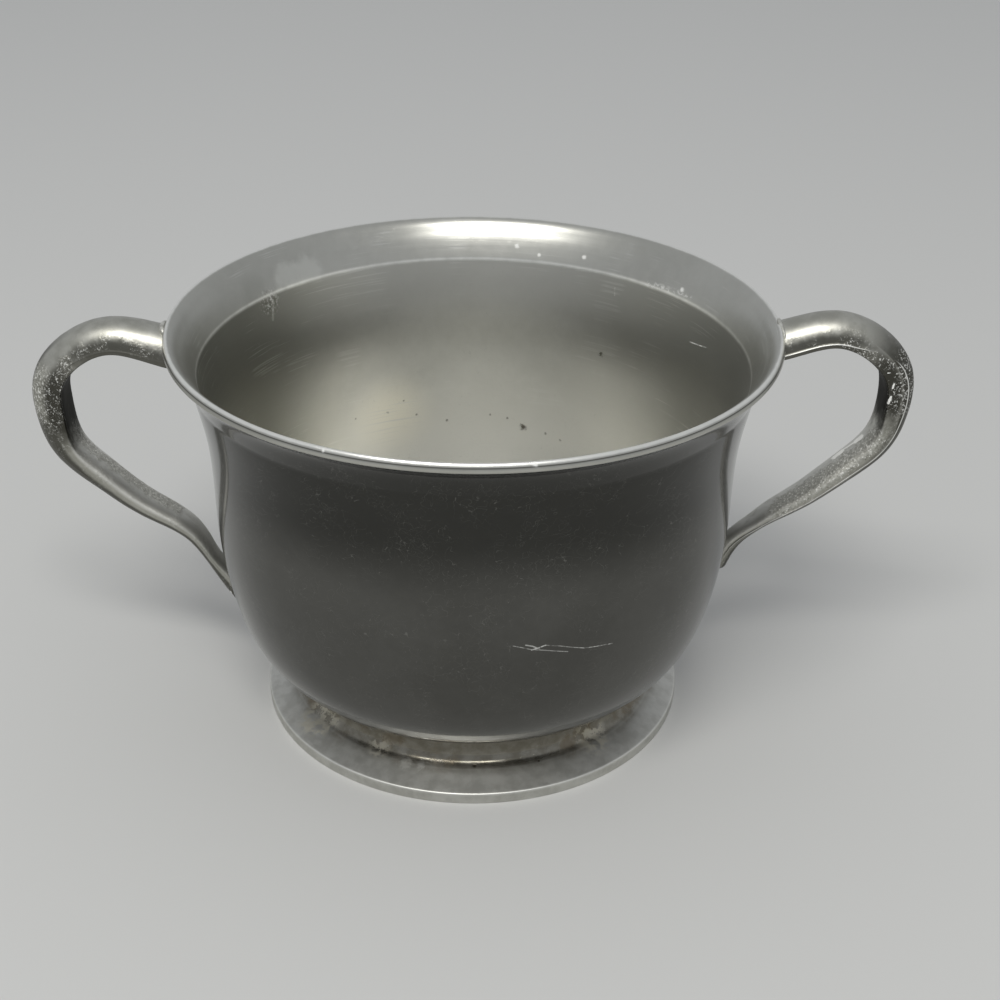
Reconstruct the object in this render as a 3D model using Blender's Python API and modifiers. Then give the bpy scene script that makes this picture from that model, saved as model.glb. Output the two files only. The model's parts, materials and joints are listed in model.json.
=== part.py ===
"""Pewter sugar bowl: a spun body on a spun foot ring, with two cast ear handles soldered on.

Metres, +Z up. The origin is on the table, on the body's axis. The handles lie along X.
"""
import math

import bmesh
import bpy
import numpy as np

# The body's outer side. Heights are above the table. Below the rim, each inset is the step in from the
# radius above it, so that the wall, the foot and the handles follow the rim.
RIM_RADIUS = 0.04335
RIM_HEIGHT = 0.0602
WALL = 0.00105
LIP_EDGE_ROUND = 0.00035

# The flare runs from the crease, where it is steep, to the lip, where it is nearly flat.
FLARE_WIDTH = 0.0034
FLARE_RISE = 0.00495
CREASE_ANGLE = math.radians(66)
LIP_ANGLE = math.radians(20)
FLARE_LOWER_REACH = 0.0026
FLARE_UPPER_REACH = 0.0015

# The wall draws in slightly to the throat and the belly, then turns under to the foot and the flat floor.
THROAT_INSET = 0.0018
THROAT_DROP = 0.0092
BELLY_INSET = 0.0007
BELLY_HEIGHT = 0.0290
TURN_INSET = 0.00135
TURN_HEIGHT = 0.0203
HEEL_INSET = 0.0022
HEEL_HEIGHT = 0.0140
TUCK_INSET = 0.0033
TUCK_HEIGHT = 0.0098
SEAT_INSET = 0.0044
SEAT_HEIGHT = 0.00735
FLOOR_INSET = 0.0057
FLOOR_HEIGHT = 0.0062

# The foot ring. Its edge stands out from its neck by the spread, and only the ledge touches the table.
FOOT_SPREAD = 0.00545
FOOT_EDGE = 0.00165
FOOT_LEDGE = 0.0022
FLANGE_RISE = 0.00135
FLANGE_WIDTH = 0.0038
NECK_WALL = 0.0012
NECK_UPPER_CURVE = 0.35
NECK_LOWER_CURVE = 0.35
NECK_LOWER_LIFT = 0.12
HOLLOW_CURVE = 0.6

# The handles, along the middle of their thickness. The reach runs out from the crease. The drop runs from
# the root's middle, below the rim, down to the foot height above the table. Both come from one mould,
# and the right one is soldered on higher than the mean by the lift, the left one lower by as much.
HANDLE_REACH = 0.0209
HANDLE_TOP_DROP = 0.00335
HANDLE_FOOT_HEIGHT = 0.01645
HANDLE_LIFT = 0.00085
HANDLE_ROOT_DEPTH = 0.0025
LEFT_TAIL_HEIGHT = 0.0142
RIGHT_TAIL_HEIGHT = 0.0200
TAIL_LANDING = 0.0042

# Width and thickness of a handle at six places, evenly spaced from the lip to the tail's tip
ROOT_WIDTH = 0.0080
ROOT_THICKNESS = 0.0040
TOP_WIDTH = 0.0073
TOP_THICKNESS = 0.0045
BEND_WIDTH = 0.0068
BEND_THICKNESS = 0.0044
RETURN_WIDTH = 0.0063
RETURN_THICKNESS = 0.0036
RUN_WIDTH = 0.0055
RUN_THICKNESS = 0.0024
TIP_WIDTH = 0.0018
TIP_THICKNESS = 0.0011
HANDLE_CORNER = 0.0007
HANDLE_CORNER_LIMIT = 0.35

# Shape of the bow, as shares of the reach, going out, and of the drop, going down
HANDLE_BOW = (
    (-0.024, 0.012),
    (0.1225, 0.000),
    (0.524, -0.050),
    (0.796, 0.005),
    (0.984, 0.131),
    (0.993, 0.255),
    (0.921, 0.384),
    (0.687, 0.512),
    (0.400, 0.634),
    (0.1174, 0.735),
)

# Solder joints. The overhang is how far the solder shows round a joint, and the gap is the clearance that
# every piece keeps to its neighbour. The rim joint's blank runs out past the lip before it is trimmed.
GAP = 0.0003
SEAM_SOLDER = 0.0005
HANDLE_SOLDER = 0.0004
SOLDER_OVERHANG = 0.0004
RIM_JOINT_LENGTH = 0.0040

# Fineness of the meshes
TURN_STEPS = 64
CUTTER_STEPS = 96
HANDLE_STATIONS = 34
JOINT_STATIONS = 5
DOME_POINTS = 9
CORNER_POINTS = 3
FLARE_POINTS = 7
WALL_POINTS = 26
NECK_POINTS = 7
HOLLOW_POINTS = 6
SEAT_POINTS = 4
LIP_EDGE_SEGMENTS = 2
SHARP_EDGE = math.radians(60)
MERGE = 0.00001

# Sizes that follow from the ones above
CREASE_RADIUS = RIM_RADIUS - FLARE_WIDTH
THROAT_RADIUS = CREASE_RADIUS - THROAT_INSET
BELLY_RADIUS = THROAT_RADIUS - BELLY_INSET
TURN_RADIUS = BELLY_RADIUS - TURN_INSET
HEEL_RADIUS = TURN_RADIUS - HEEL_INSET
TUCK_RADIUS = HEEL_RADIUS - TUCK_INSET
SEAT_RADIUS = TUCK_RADIUS - SEAT_INSET
FLOOR_RADIUS = SEAT_RADIUS - FLOOR_INSET
FOOT_RADIUS = SEAT_RADIUS + FOOT_SPREAD
HANDLE_STACK = GAP + HANDLE_SOLDER + GAP
HANDLE_DROP = RIM_HEIGHT - HANDLE_TOP_DROP - HANDLE_FOOT_HEIGHT


def clear_scene():
    """Start from an empty scene."""
    for obj in list(bpy.data.objects):
        bpy.data.objects.remove(obj)


def new_collection(name):
    """A collection linked under the scene's own."""
    collection = bpy.data.collections.new(name)
    bpy.context.scene.collection.children.link(collection)
    return collection


def pewter(name, colour, roughness):
    """A plain metal for one piece."""
    material = bpy.data.materials.new(name)
    material.use_nodes = True
    shader = material.node_tree.nodes["Principled BSDF"]
    shader.inputs["Base Color"].default_value = (*colour, 1.0)
    shader.inputs["Metallic"].default_value = 1.0
    shader.inputs["Roughness"].default_value = roughness
    return material


def smooth_route(points, count):
    """Points along the natural cubic curve through the given points, spaced by chord length."""
    points = np.array(points, dtype=float)
    knots = np.concatenate([[0.0], np.cumsum(np.linalg.norm(np.diff(points, axis=0), axis=1))])
    spans = np.diff(knots)
    size = len(points)
    matrix = np.eye(size)
    target = np.zeros_like(points)
    for i in range(1, size - 1):
        matrix[i, i - 1:i + 2] = (spans[i - 1], 2 * (spans[i - 1] + spans[i]), spans[i])
        rise = (points[i + 1] - points[i]) / spans[i]
        target[i] = 6 * (rise - (points[i] - points[i - 1]) / spans[i - 1])
    bend = np.linalg.solve(matrix, target)
    route = []
    for place in np.linspace(0.0, knots[-1], count):
        i = min(int(np.searchsorted(knots, place, side="right")) - 1, size - 2)
        after = (place - knots[i]) / spans[i]
        before = 1.0 - after
        curve = (before ** 3 - before) * bend[i] + (after ** 3 - after) * bend[i + 1]
        route.append(before * points[i] + after * points[i + 1] + curve * spans[i] ** 2 / 6)
    return np.array(route)


def bezier(start, start_handle, end_handle, end, count):
    """Points along one cubic Bezier curve."""
    corners = np.array([start, start_handle, end_handle, end])
    points = []
    for t in np.linspace(0.0, 1.0, count):
        s = 1.0 - t
        points.append(np.array([s ** 3, 3 * s * s * t, 3 * s * t * t, t ** 3]) @ corners)
    return np.array(points)


def flare_outline():
    """The lip's underside, from its edge down to the crease."""
    lip = (RIM_RADIUS, RIM_HEIGHT - WALL)
    crease = (CREASE_RADIUS, lip[1] - FLARE_RISE)
    lip_handle = (
        lip[0] - FLARE_UPPER_REACH * math.cos(LIP_ANGLE),
        lip[1] - FLARE_UPPER_REACH * math.sin(LIP_ANGLE),
    )
    crease_handle = (
        crease[0] + FLARE_LOWER_REACH * math.cos(CREASE_ANGLE),
        crease[1] + FLARE_LOWER_REACH * math.sin(CREASE_ANGLE),
    )
    return bezier(lip, lip_handle, crease_handle, crease, FLARE_POINTS)


def wall_outline():
    """The outer side from the crease down the wall and round the belly to the flat bottom."""
    crease = flare_outline()[-1]
    stations = [
        tuple(crease),
        (THROAT_RADIUS, crease[1] - THROAT_DROP),
        (BELLY_RADIUS, BELLY_HEIGHT),
        (TURN_RADIUS, TURN_HEIGHT),
        (HEEL_RADIUS, HEEL_HEIGHT),
        (TUCK_RADIUS, TUCK_HEIGHT),
        (SEAT_RADIUS, SEAT_HEIGHT),
        (FLOOR_RADIUS, FLOOR_HEIGHT),
    ]
    return smooth_route(stations, WALL_POINTS)


def body_outline():
    """The body's whole outer side, from the lip's edge to the axis."""
    return np.vstack([flare_outline(), wall_outline()[1:], [(0.0, FLOOR_HEIGHT)]])


def set_off(outline, distance):
    """The outline moved out along its own normals. The axis point stays on the axis."""
    ahead = np.gradient(outline, axis=0)
    ahead /= np.linalg.norm(ahead, axis=1)[:, None]
    normals = np.stack([-ahead[:, 1], ahead[:, 0]], axis=-1)
    moved = outline + normals * distance
    moved[-1] = (0.0, outline[-1][1] - distance)
    return moved


def outline_height(outline, radius):
    """The height of the lower part of an outline at a radius."""
    low = outline[outline[:, 1] < TURN_HEIGHT]
    return float(np.interp(radius, low[::-1, 0], low[::-1, 1]))


def turned(name, profile, closed, collection, steps=TURN_STEPS):
    """A profile of (radius, height) points turned round the Z axis by a Screw modifier."""
    mesh = bpy.data.meshes.new(name)
    edges = [(i, i + 1) for i in range(len(profile) - 1)]
    if closed:
        edges.append((len(profile) - 1, 0))
    mesh.from_pydata([(float(r), 0.0, float(z)) for r, z in profile], edges, [])
    obj = bpy.data.objects.new(name, mesh)
    collection.objects.link(obj)
    screw = obj.modifiers.new("Turn", "SCREW")
    screw.angle = math.tau
    screw.steps = steps
    screw.render_steps = steps
    screw.use_merge_vertices = True
    screw.merge_threshold = MERGE
    screw.use_smooth_shade = True
    return obj


def make_body(collection):
    """The spun body: its outer side turned, given its wall, and its lip's edge rounded."""
    body = turned("bowl_body", body_outline(), False, collection)
    shell = body.modifiers.new("Wall", "SOLIDIFY")
    shell.thickness = WALL
    shell.offset = -1.0
    shell.use_even_offset = True
    edge = body.modifiers.new("Lip edge", "BEVEL")
    edge.width = LIP_EDGE_ROUND
    edge.segments = LIP_EDGE_SEGMENTS
    edge.limit_method = "ANGLE"
    edge.angle_limit = SHARP_EDGE
    body.data.materials.append(pewter("pewter_body", (0.46, 0.45, 0.41), 0.22))
    return body


def seat_outline(distance, inner_radius, outer_radius):
    """A stretch of the body's underside between two radii, set off downwards."""
    outline = set_off(body_outline(), distance)
    radii = np.linspace(outer_radius, inner_radius, SEAT_POINTS)
    return [(r, outline_height(outline, r)) for r in radii]


def make_foot(collection):
    """The foot ring: neck, flange with an upright edge, and a hollow underside."""
    neck_top = seat_outline(GAP + SEAM_SOLDER + GAP, SEAT_RADIUS - NECK_WALL, SEAT_RADIUS)
    shoulder = (FOOT_RADIUS - FLANGE_WIDTH, FOOT_EDGE + FLANGE_RISE)
    neck_rise = neck_top[0][1] - shoulder[1]
    neck_run = shoulder[0] - SEAT_RADIUS
    neck_outside = bezier(
        neck_top[0],
        (SEAT_RADIUS, shoulder[1] + NECK_UPPER_CURVE * neck_rise),
        (shoulder[0] - NECK_LOWER_CURVE * neck_run, shoulder[1] + NECK_LOWER_LIFT * neck_rise),
        shoulder,
        NECK_POINTS,
    )
    hollow_height = shoulder[1] - NECK_WALL
    neck_inside = bezier(
        (FOOT_RADIUS - FOOT_LEDGE, 0.0),
        (FOOT_RADIUS - FOOT_LEDGE, HOLLOW_CURVE * hollow_height),
        (SEAT_RADIUS - NECK_WALL, hollow_height),
        neck_top[-1],
        HOLLOW_POINTS,
    )
    profile = [*neck_outside, (FOOT_RADIUS, FOOT_EDGE), (FOOT_RADIUS, 0.0), *neck_inside, *neck_top[-2:0:-1]]
    foot = turned("foot_ring", profile, True, collection)
    foot.data.materials.append(pewter("pewter_foot", (0.44, 0.42, 0.37), 0.25))
    return foot


def make_seam(collection):
    """The ring of solder between the body's underside and the top of the foot's neck."""
    inner = SEAT_RADIUS - NECK_WALL - SOLDER_OVERHANG
    outer = SEAT_RADIUS + SOLDER_OVERHANG
    top = seat_outline(GAP, inner, outer)
    bottom = seat_outline(GAP + SEAM_SOLDER, inner, outer)
    seam = turned("solder_foot_seam", [*bottom, *top[::-1]], True, collection)
    seam.data.materials.append(pewter("solder_seam", (0.50, 0.49, 0.46), 0.35))
    return seam


def make_cutter(name, distance, collection):
    """A solid the shape of the body's outside, larger by a distance all round."""
    outline = set_off(body_outline(), distance)
    keep = [outline[0]]
    for point in outline[1:]:
        if point[1] < keep[-1][1] - MERGE:
            keep.append(point)
    top = RIM_HEIGHT + ROOT_THICKNESS
    side = RIM_RADIUS + distance
    profile = [(0.0, top), (side, top), (side, RIM_HEIGHT - WALL), *keep, (0.0, keep[-1][1])]
    cutter = turned(name, profile, False, collection, CUTTER_STEPS)
    cutter.rotation_euler.z = math.pi / CUTTER_STEPS
    cutter.hide_render = True
    cutter.display_type = "WIRE"
    return cutter


def off_wall(height, distance):
    """The place (radius, height) that lies off the wall by a distance, square to it at a height."""
    outline = body_outline()
    moved = set_off(outline, distance)
    return tuple(float(np.interp(height, outline[::-1, 1], moved[::-1, k])) for k in (0, 1))


def handle_route(top, tail_height):
    """Middle line of a handle in (radius, height): out from the lip, round the bow, down to the belly."""
    root = (CREASE_RADIUS - HANDLE_ROOT_DEPTH, top - HANDLE_DROP * HANDLE_BOW[0][1])
    bow = [(CREASE_RADIUS + HANDLE_REACH * out, top - HANDLE_DROP * down) for out, down in HANDLE_BOW]
    landing = off_wall(tail_height + TAIL_LANDING, HANDLE_STACK + RUN_THICKNESS / 2)
    tip = off_wall(tail_height, HANDLE_STACK + TIP_THICKNESS / 2)
    return smooth_route([root, *bow, landing, tip], HANDLE_STATIONS)


def handle_section(width, thickness):
    """Points round a section in (out, across): a domed outer face, and a flat inner face with round corners."""
    corner = min(HANDLE_CORNER, HANDLE_CORNER_LIMIT * thickness, HANDLE_CORNER_LIMIT * width)
    back = -0.5 * thickness
    points = []
    for angle in np.linspace(0.0, math.pi, DOME_POINTS):
        points.append((back + corner + math.sin(angle) * (thickness - corner), 0.5 * width * math.cos(angle)))
    for side in (-1, 1):
        ring = []
        for k in range(1, CORNER_POINTS + 1):
            turn = math.radians(90) * k / CORNER_POINTS
            across = 0.5 * width - corner + corner * math.cos(turn)
            ring.append((back + corner - corner * math.sin(turn), side * across))
        points.extend(ring if side < 0 else ring[::-1])
    return points


def sweep(name, side, route, sizes, collection):
    """A closed loft along a route in the XZ plane, with its own width and thickness at each station."""
    ahead = np.gradient(route, axis=0)
    ahead /= np.linalg.norm(ahead, axis=1)[:, None]
    mesh = bpy.data.meshes.new(name)
    build = bmesh.new()
    rings = []
    for (radius, height), (run, rise), (width, thickness) in zip(route, ahead, sizes):
        ring = []
        for out, across in handle_section(width, thickness):
            place = (side * (radius - rise * out), across, height + run * out)
            ring.append(build.verts.new(place))
        rings.append(ring)
    for near, far in zip(rings[:-1], rings[1:]):
        for i in range(len(near)):
            j = (i + 1) % len(near)
            build.faces.new((near[i], near[j], far[j], far[i]))
    build.faces.new(rings[0][::-1])
    build.faces.new(rings[-1])
    bmesh.ops.recalc_face_normals(build, faces=build.faces)
    build.to_mesh(mesh)
    build.free()
    mesh.shade_smooth()
    obj = bpy.data.objects.new(name, mesh)
    collection.objects.link(obj)
    return obj


def station_sizes():
    """Width and thickness at each station of a handle."""
    sizes = [
        (ROOT_WIDTH, ROOT_THICKNESS),
        (TOP_WIDTH, TOP_THICKNESS),
        (BEND_WIDTH, BEND_THICKNESS),
        (RETURN_WIDTH, RETURN_THICKNESS),
        (RUN_WIDTH, RUN_THICKNESS),
        (TIP_WIDTH, TIP_THICKNESS),
    ]
    marks = np.linspace(0.0, 1.0, len(sizes))
    spread = smooth_route([(mark, *size) for mark, size in zip(marks, sizes)], HANDLE_STATIONS)
    return [(width, thickness) for _, width, thickness in spread]


def grown(sizes):
    """The same sizes with the solder's overhang all round."""
    return [(width + 2 * SOLDER_OVERHANG, thickness + 2 * SOLDER_OVERHANG) for width, thickness in sizes]


def cut(obj, cutter, operation):
    """Cut or trim a piece with a cutter."""
    boolean = obj.modifiers.new(cutter.name, "BOOLEAN")
    boolean.object = cutter
    boolean.operation = operation
    boolean.solver = "EXACT"


def make_handle(word, side, tail_height, collection, cutters):
    """One handle with its two solder joints, all trimmed to follow the body."""
    top = RIM_HEIGHT - HANDLE_TOP_DROP + side * HANDLE_LIFT
    route = handle_route(top, tail_height)
    lengths = np.concatenate([[0.0], np.cumsum(np.linalg.norm(np.diff(route, axis=0), axis=1))])
    sizes = np.array(station_sizes())
    handle = sweep("handle_" + word, side, route, sizes, collection)
    handle.data.materials.append(pewter("pewter_handle_" + word, (0.47, 0.46, 0.42), 0.32))
    cut(handle, cutters["handle"], "DIFFERENCE")

    def along(places):
        """Points of the route, and sizes with the overhang, at these lengths from the handle's root."""
        middle = np.stack([np.interp(places, lengths, route[:, k]) for k in (0, 1)], axis=-1)
        return middle, grown([[np.interp(place, lengths, sizes[:, k]) for k in (0, 1)] for place in places])

    rim_end = HANDLE_ROOT_DEPTH + FLARE_WIDTH + RIM_JOINT_LENGTH
    stub, stub_sizes = along(np.linspace(0.0, rim_end, JOINT_STATIONS))
    rim_joint = sweep("solder_" + word + "_rim", side, stub, stub_sizes, collection)

    tail_top = tail_height + TAIL_LANDING + SOLDER_OVERHANG
    heights = np.linspace(tail_top, tail_height - SOLDER_OVERHANG, JOINT_STATIONS)
    bed = np.array([off_wall(height, GAP + HANDLE_SOLDER / 2) for height in heights])
    _, bed_sizes = along(np.linspace(lengths[-1] - TAIL_LANDING, lengths[-1], JOINT_STATIONS))
    tail_joint = sweep("solder_" + word + "_tail", side, bed, bed_sizes, collection)
    for joint in (rim_joint, tail_joint):
        cut(joint, cutters["inner"], "DIFFERENCE")
        cut(joint, cutters["outer"], "INTERSECT")
        joint.data.materials.append(pewter(joint.name, (0.56, 0.55, 0.52), 0.35))


def main():
    clear_scene()
    parts = new_collection("pewter_sugar_bowl")
    tools = new_collection("cutters")
    make_body(parts)
    make_foot(parts)
    make_seam(parts)
    cutters = {
        "inner": make_cutter("cutter_inner", GAP, tools),
        "outer": make_cutter("cutter_outer", GAP + HANDLE_SOLDER, tools),
        "handle": make_cutter("cutter_handle", HANDLE_STACK, tools),
    }
    make_handle("left", -1, LEFT_TAIL_HEIGHT, parts, cutters)
    make_handle("right", 1, RIGHT_TAIL_HEIGHT, parts, cutters)


main()
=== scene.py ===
# %% [markdown]
# # A small pewter sugar bowl
# The real bowl is a spun cup on a spun foot ring, with two cast handles soldered to it. This script
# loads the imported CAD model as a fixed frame, builds each piece again with fine surfaces, gives it its
# finish, and lights it on a plain floor. Lengths are metres, as in the frame, unless a name says mm.

import json
import math

import bpy
import numpy as np
from mathutils import Matrix, Vector

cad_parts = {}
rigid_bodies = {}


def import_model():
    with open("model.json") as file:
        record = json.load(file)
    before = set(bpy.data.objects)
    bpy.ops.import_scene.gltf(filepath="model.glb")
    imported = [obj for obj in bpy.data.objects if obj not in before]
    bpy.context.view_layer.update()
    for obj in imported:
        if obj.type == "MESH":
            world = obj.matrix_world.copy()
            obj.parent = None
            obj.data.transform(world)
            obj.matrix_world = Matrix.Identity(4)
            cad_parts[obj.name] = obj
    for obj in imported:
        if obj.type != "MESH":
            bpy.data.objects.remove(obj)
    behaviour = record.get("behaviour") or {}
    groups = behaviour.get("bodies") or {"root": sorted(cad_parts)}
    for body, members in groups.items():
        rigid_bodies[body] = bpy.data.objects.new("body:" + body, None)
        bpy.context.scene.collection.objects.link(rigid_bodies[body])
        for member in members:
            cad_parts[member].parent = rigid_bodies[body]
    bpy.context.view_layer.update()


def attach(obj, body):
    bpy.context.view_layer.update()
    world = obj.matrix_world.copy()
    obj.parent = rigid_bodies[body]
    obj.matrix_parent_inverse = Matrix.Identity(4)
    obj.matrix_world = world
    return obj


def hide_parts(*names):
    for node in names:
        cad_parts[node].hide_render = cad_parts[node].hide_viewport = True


for leftover in list(bpy.data.objects):
    bpy.data.objects.remove(leftover)
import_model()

# %% [markdown]
# ## The camera
# A camera at the photograph's viewpoint makes every outline fall where the photograph has it. Its place
# was solved from the ellipses that the rim and the foot draw, so it is written as numbers here: where it
# stands, how far it looks down, and how far it turns and leans.

# %% Camera
CAMERA_PLACE = (-0.000229, -0.215012, 0.152052)
LOOKS_DOWN = math.radians(29.29)
LEANS = math.radians(0.81)
TURNS = math.radians(1.10)
LENS_MM = 59.76


def make_camera():
    """A camera at the photograph's viewpoint."""
    ahead = Vector((
        math.sin(TURNS) * math.cos(LOOKS_DOWN),
        math.cos(TURNS) * math.cos(LOOKS_DOWN),
        -math.sin(LOOKS_DOWN),
    ))
    right = Vector((math.cos(TURNS), -math.sin(TURNS), 0.0))
    up = right.cross(ahead)
    right_leant = right * math.cos(LEANS) + up * math.sin(LEANS)
    up_leant = up * math.cos(LEANS) - right * math.sin(LEANS)
    data = bpy.data.cameras.new("camera")
    data.sensor_width = 36.0
    data.lens = LENS_MM
    data.clip_start = 0.01
    camera = bpy.data.objects.new("camera", data)
    bpy.context.scene.collection.objects.link(camera)
    matrix = Matrix((right_leant, up_leant, -ahead)).transposed().to_4x4()
    matrix.translation = CAMERA_PLACE
    camera.matrix_world = matrix
    bpy.context.scene.camera = camera
    return camera


camera = make_camera()
print("camera at", [round(v, 3) for v in camera.location], "lens", LENS_MM)

# %% [markdown]
# ## Wiring nodes with sums
# Geometry Nodes and materials are both trees of nodes. Writing each Math node by hand hides the formula,
# so a wire is wrapped in a small class here: adding or multiplying two wires adds the Math node between
# them. Every other node comes from one method, add, which sets the node first and then joins its sockets.

# %% The wire and the bench
def arithmetic(operation, turned=False):
    """A method that joins a wire and another value by one Math node, turned about for 1 - wire."""
    def method(wire, other):
        pair = (other, wire) if turned else (wire, other)
        return wire.bench.add("ShaderNodeMath", {"operation": operation}, dict(enumerate(pair)))
    return method


class Wire:
    """One output of a node. Arithmetic on wires adds the Math nodes for it."""

    __add__, __radd__ = arithmetic("ADD"), arithmetic("ADD", True)
    __sub__, __rsub__ = arithmetic("SUBTRACT"), arithmetic("SUBTRACT", True)
    __mul__, __rmul__ = arithmetic("MULTIPLY"), arithmetic("MULTIPLY", True)
    __truediv__, __rtruediv__ = arithmetic("DIVIDE"), arithmetic("DIVIDE", True)
    __pow__ = arithmetic("POWER")

    def __init__(self, bench, socket):
        self.bench = bench
        self.socket = socket

    def maths(self, operation, *others):
        """A Math node on this wire, as in wire.maths("SINE")."""
        return self.bench.add("ShaderNodeMath", {"operation": operation}, dict(enumerate((self, *others))))

    def __abs__(self):
        return self.maths("ABSOLUTE")


class Bench:
    """A node tree with one method that adds a node of any type."""

    def __init__(self, tree):
        self.tree = tree

    def add(self, kind, settings=None, sockets=None, out=0):
        node = self.tree.nodes.new(kind)
        for name, value in (settings or {}).items():
            setattr(node, name, value)
        for key, value in (sockets or {}).items():
            if isinstance(value, Wire):
                self.tree.links.new(value.socket, node.inputs[key])
            else:
                node.inputs[key].default_value = value
        return Wire(self, node.outputs[out])

    def vector(self, x, y, z):
        return self.add("ShaderNodeCombineXYZ", None, {0: x, 1: y, 2: z})

    def parts(self, vector):
        node = self.add("ShaderNodeSeparateXYZ", None, {0: vector}).socket.node
        return [Wire(self, socket) for socket in node.outputs]

    def along(self, operation, *values, out=0):
        return self.add("ShaderNodeVectorMath", {"operation": operation}, dict(enumerate(values)), out)

    def scaled(self, vector, factor):
        return self.add("ShaderNodeVectorMath", {"operation": "SCALE"}, {0: vector, 3: factor})

    def most(self, top, *values):
        """The largest of several values."""
        for value in values:
            top = self.add("ShaderNodeMath", {"operation": "MAXIMUM"}, {0: top, 1: value})
        return top

    def ease(self, value, low, high, start=0.0, end=1.0):
        """A smooth step from start to end while the value goes from low to high."""
        settings = {"interpolation_type": "SMOOTHSTEP"}
        return self.add("ShaderNodeMapRange", settings, {0: value, 1: low, 2: high, 3: start, 4: end})

    def noise(self, vector, scale, detail=2.0, roughness=0.5, distortion=0.0):
        sockets = {"Vector": vector, "Scale": scale, "Detail": detail, "Roughness": roughness}
        return self.add("ShaderNodeTexNoise", None, {**sockets, "Distortion": distortion})

    def colour(self, factor, first, second):
        """A mix of two colours, given as (r, g, b) or as wires."""
        pair = [value if isinstance(value, Wire) else (*value, 1.0) for value in (first, second)]
        settings = {"data_type": "RGBA"}
        return self.add("ShaderNodeMix", settings, {0: factor, 6: pair[0], 7: pair[1]}, 2)


print("wires and benches ready")

# %% [markdown]
# ## The outline of the cup
# The cup is spun: a disc of pewter is pressed over a turning block, so its whole shape is one outline
# turned round an axis. The numbers are the same as in the CAD source. The flare at the lip is one Bezier
# curve, and the wall below it is a natural cubic curve through eight points, as a flexible batten would
# lie. The inner side is the outer one moved in by the wall, which swells a little toward the lip, and a
# short curve closes the lip's edge.

# %% Sizes of the cup
RIM_RADIUS = 0.04335
RIM_HEIGHT = 0.0602
WALL = 0.00105
FLARE_WIDTH = 0.0034
FLARE_RISE = 0.00495
CREASE_ANGLE = math.radians(66)
LIP_ANGLE = math.radians(20)
FLARE_LOWER_REACH = 0.0026
FLARE_UPPER_REACH = 0.0015
CREASE_RADIUS = RIM_RADIUS - FLARE_WIDTH
THROAT_RADIUS = CREASE_RADIUS - 0.0018
THROAT_DROP = 0.0092
BELLY_RADIUS = THROAT_RADIUS - 0.0007
TURN_RADIUS = BELLY_RADIUS - 0.00135
HEEL_RADIUS = TURN_RADIUS - 0.0022
TUCK_RADIUS = HEEL_RADIUS - 0.0033
SEAT_RADIUS = TUCK_RADIUS - 0.0044
FLOOR_RADIUS = SEAT_RADIUS - 0.0057
FLOOR_HEIGHT = 0.0062
LOWER_WALL = (
    (BELLY_RADIUS, 0.0290),
    (TURN_RADIUS, 0.0203),
    (HEEL_RADIUS, 0.0140),
    (TUCK_RADIUS, 0.0098),
    (SEAT_RADIUS, 0.00735),
    (FLOOR_RADIUS, FLOOR_HEIGHT),
)
LIP_TRIM = 0.0003
LIP_NOSE = 0.00040
LIP_SWELL = 0.00030
LIP_SWELL_RUN = 0.0022
FLAT_RADII = (0.0, 0.004, 0.009, 0.014, 0.0178)
print("rim", round(2000 * RIM_RADIUS, 2), "mm across,", round(1000 * RIM_HEIGHT, 2), "mm high")


# %% Curves through points
def smooth_route(points, count):
    """Points along the natural cubic curve through the given points, spaced by chord length."""
    points = np.array(points, dtype=float)
    knots = np.concatenate([[0.0], np.cumsum(np.linalg.norm(np.diff(points, axis=0), axis=1))])
    spans = np.diff(knots)
    size = len(points)
    matrix = np.eye(size)
    target = np.zeros_like(points)
    for i in range(1, size - 1):
        matrix[i, i - 1:i + 2] = (spans[i - 1], 2 * (spans[i - 1] + spans[i]), spans[i])
        rise = (points[i + 1] - points[i]) / spans[i]
        target[i] = 6 * (rise - (points[i] - points[i - 1]) / spans[i - 1])
    bend = np.linalg.solve(matrix, target)
    route = []
    for place in np.linspace(0.0, knots[-1], count):
        i = min(int(np.searchsorted(knots, place, side="right")) - 1, size - 2)
        after = (place - knots[i]) / spans[i]
        before = 1.0 - after
        curve = (before ** 3 - before) * bend[i] + (after ** 3 - after) * bend[i + 1]
        route.append(before * points[i] + after * points[i + 1] + curve * spans[i] ** 2 / 6)
    return np.array(route)


def bezier(start, start_handle, end_handle, end, count):
    """Points along one cubic Bezier curve."""
    corners = np.array([start, start_handle, end_handle, end])
    t = np.linspace(0.0, 1.0, count)[:, None]
    s = 1.0 - t
    return np.hstack([s ** 3, 3 * s * s * t, 3 * s * t * t, t ** 3]) @ corners


def directions(outline):
    """The unit direction of an outline at each of its points."""
    ahead = np.gradient(outline, axis=0)
    return ahead / np.linalg.norm(ahead, axis=1)[:, None]


def set_off(outline, distance):
    """The outline moved to its left by a distance."""
    ahead = directions(outline)
    return outline + np.stack([-ahead[:, 1], ahead[:, 0]], axis=-1) * distance


def run_lengths(outline):
    """How far along an outline each of its points lies."""
    return np.concatenate([[0.0], np.cumsum(np.linalg.norm(np.diff(outline, axis=0), axis=1))])


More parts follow.
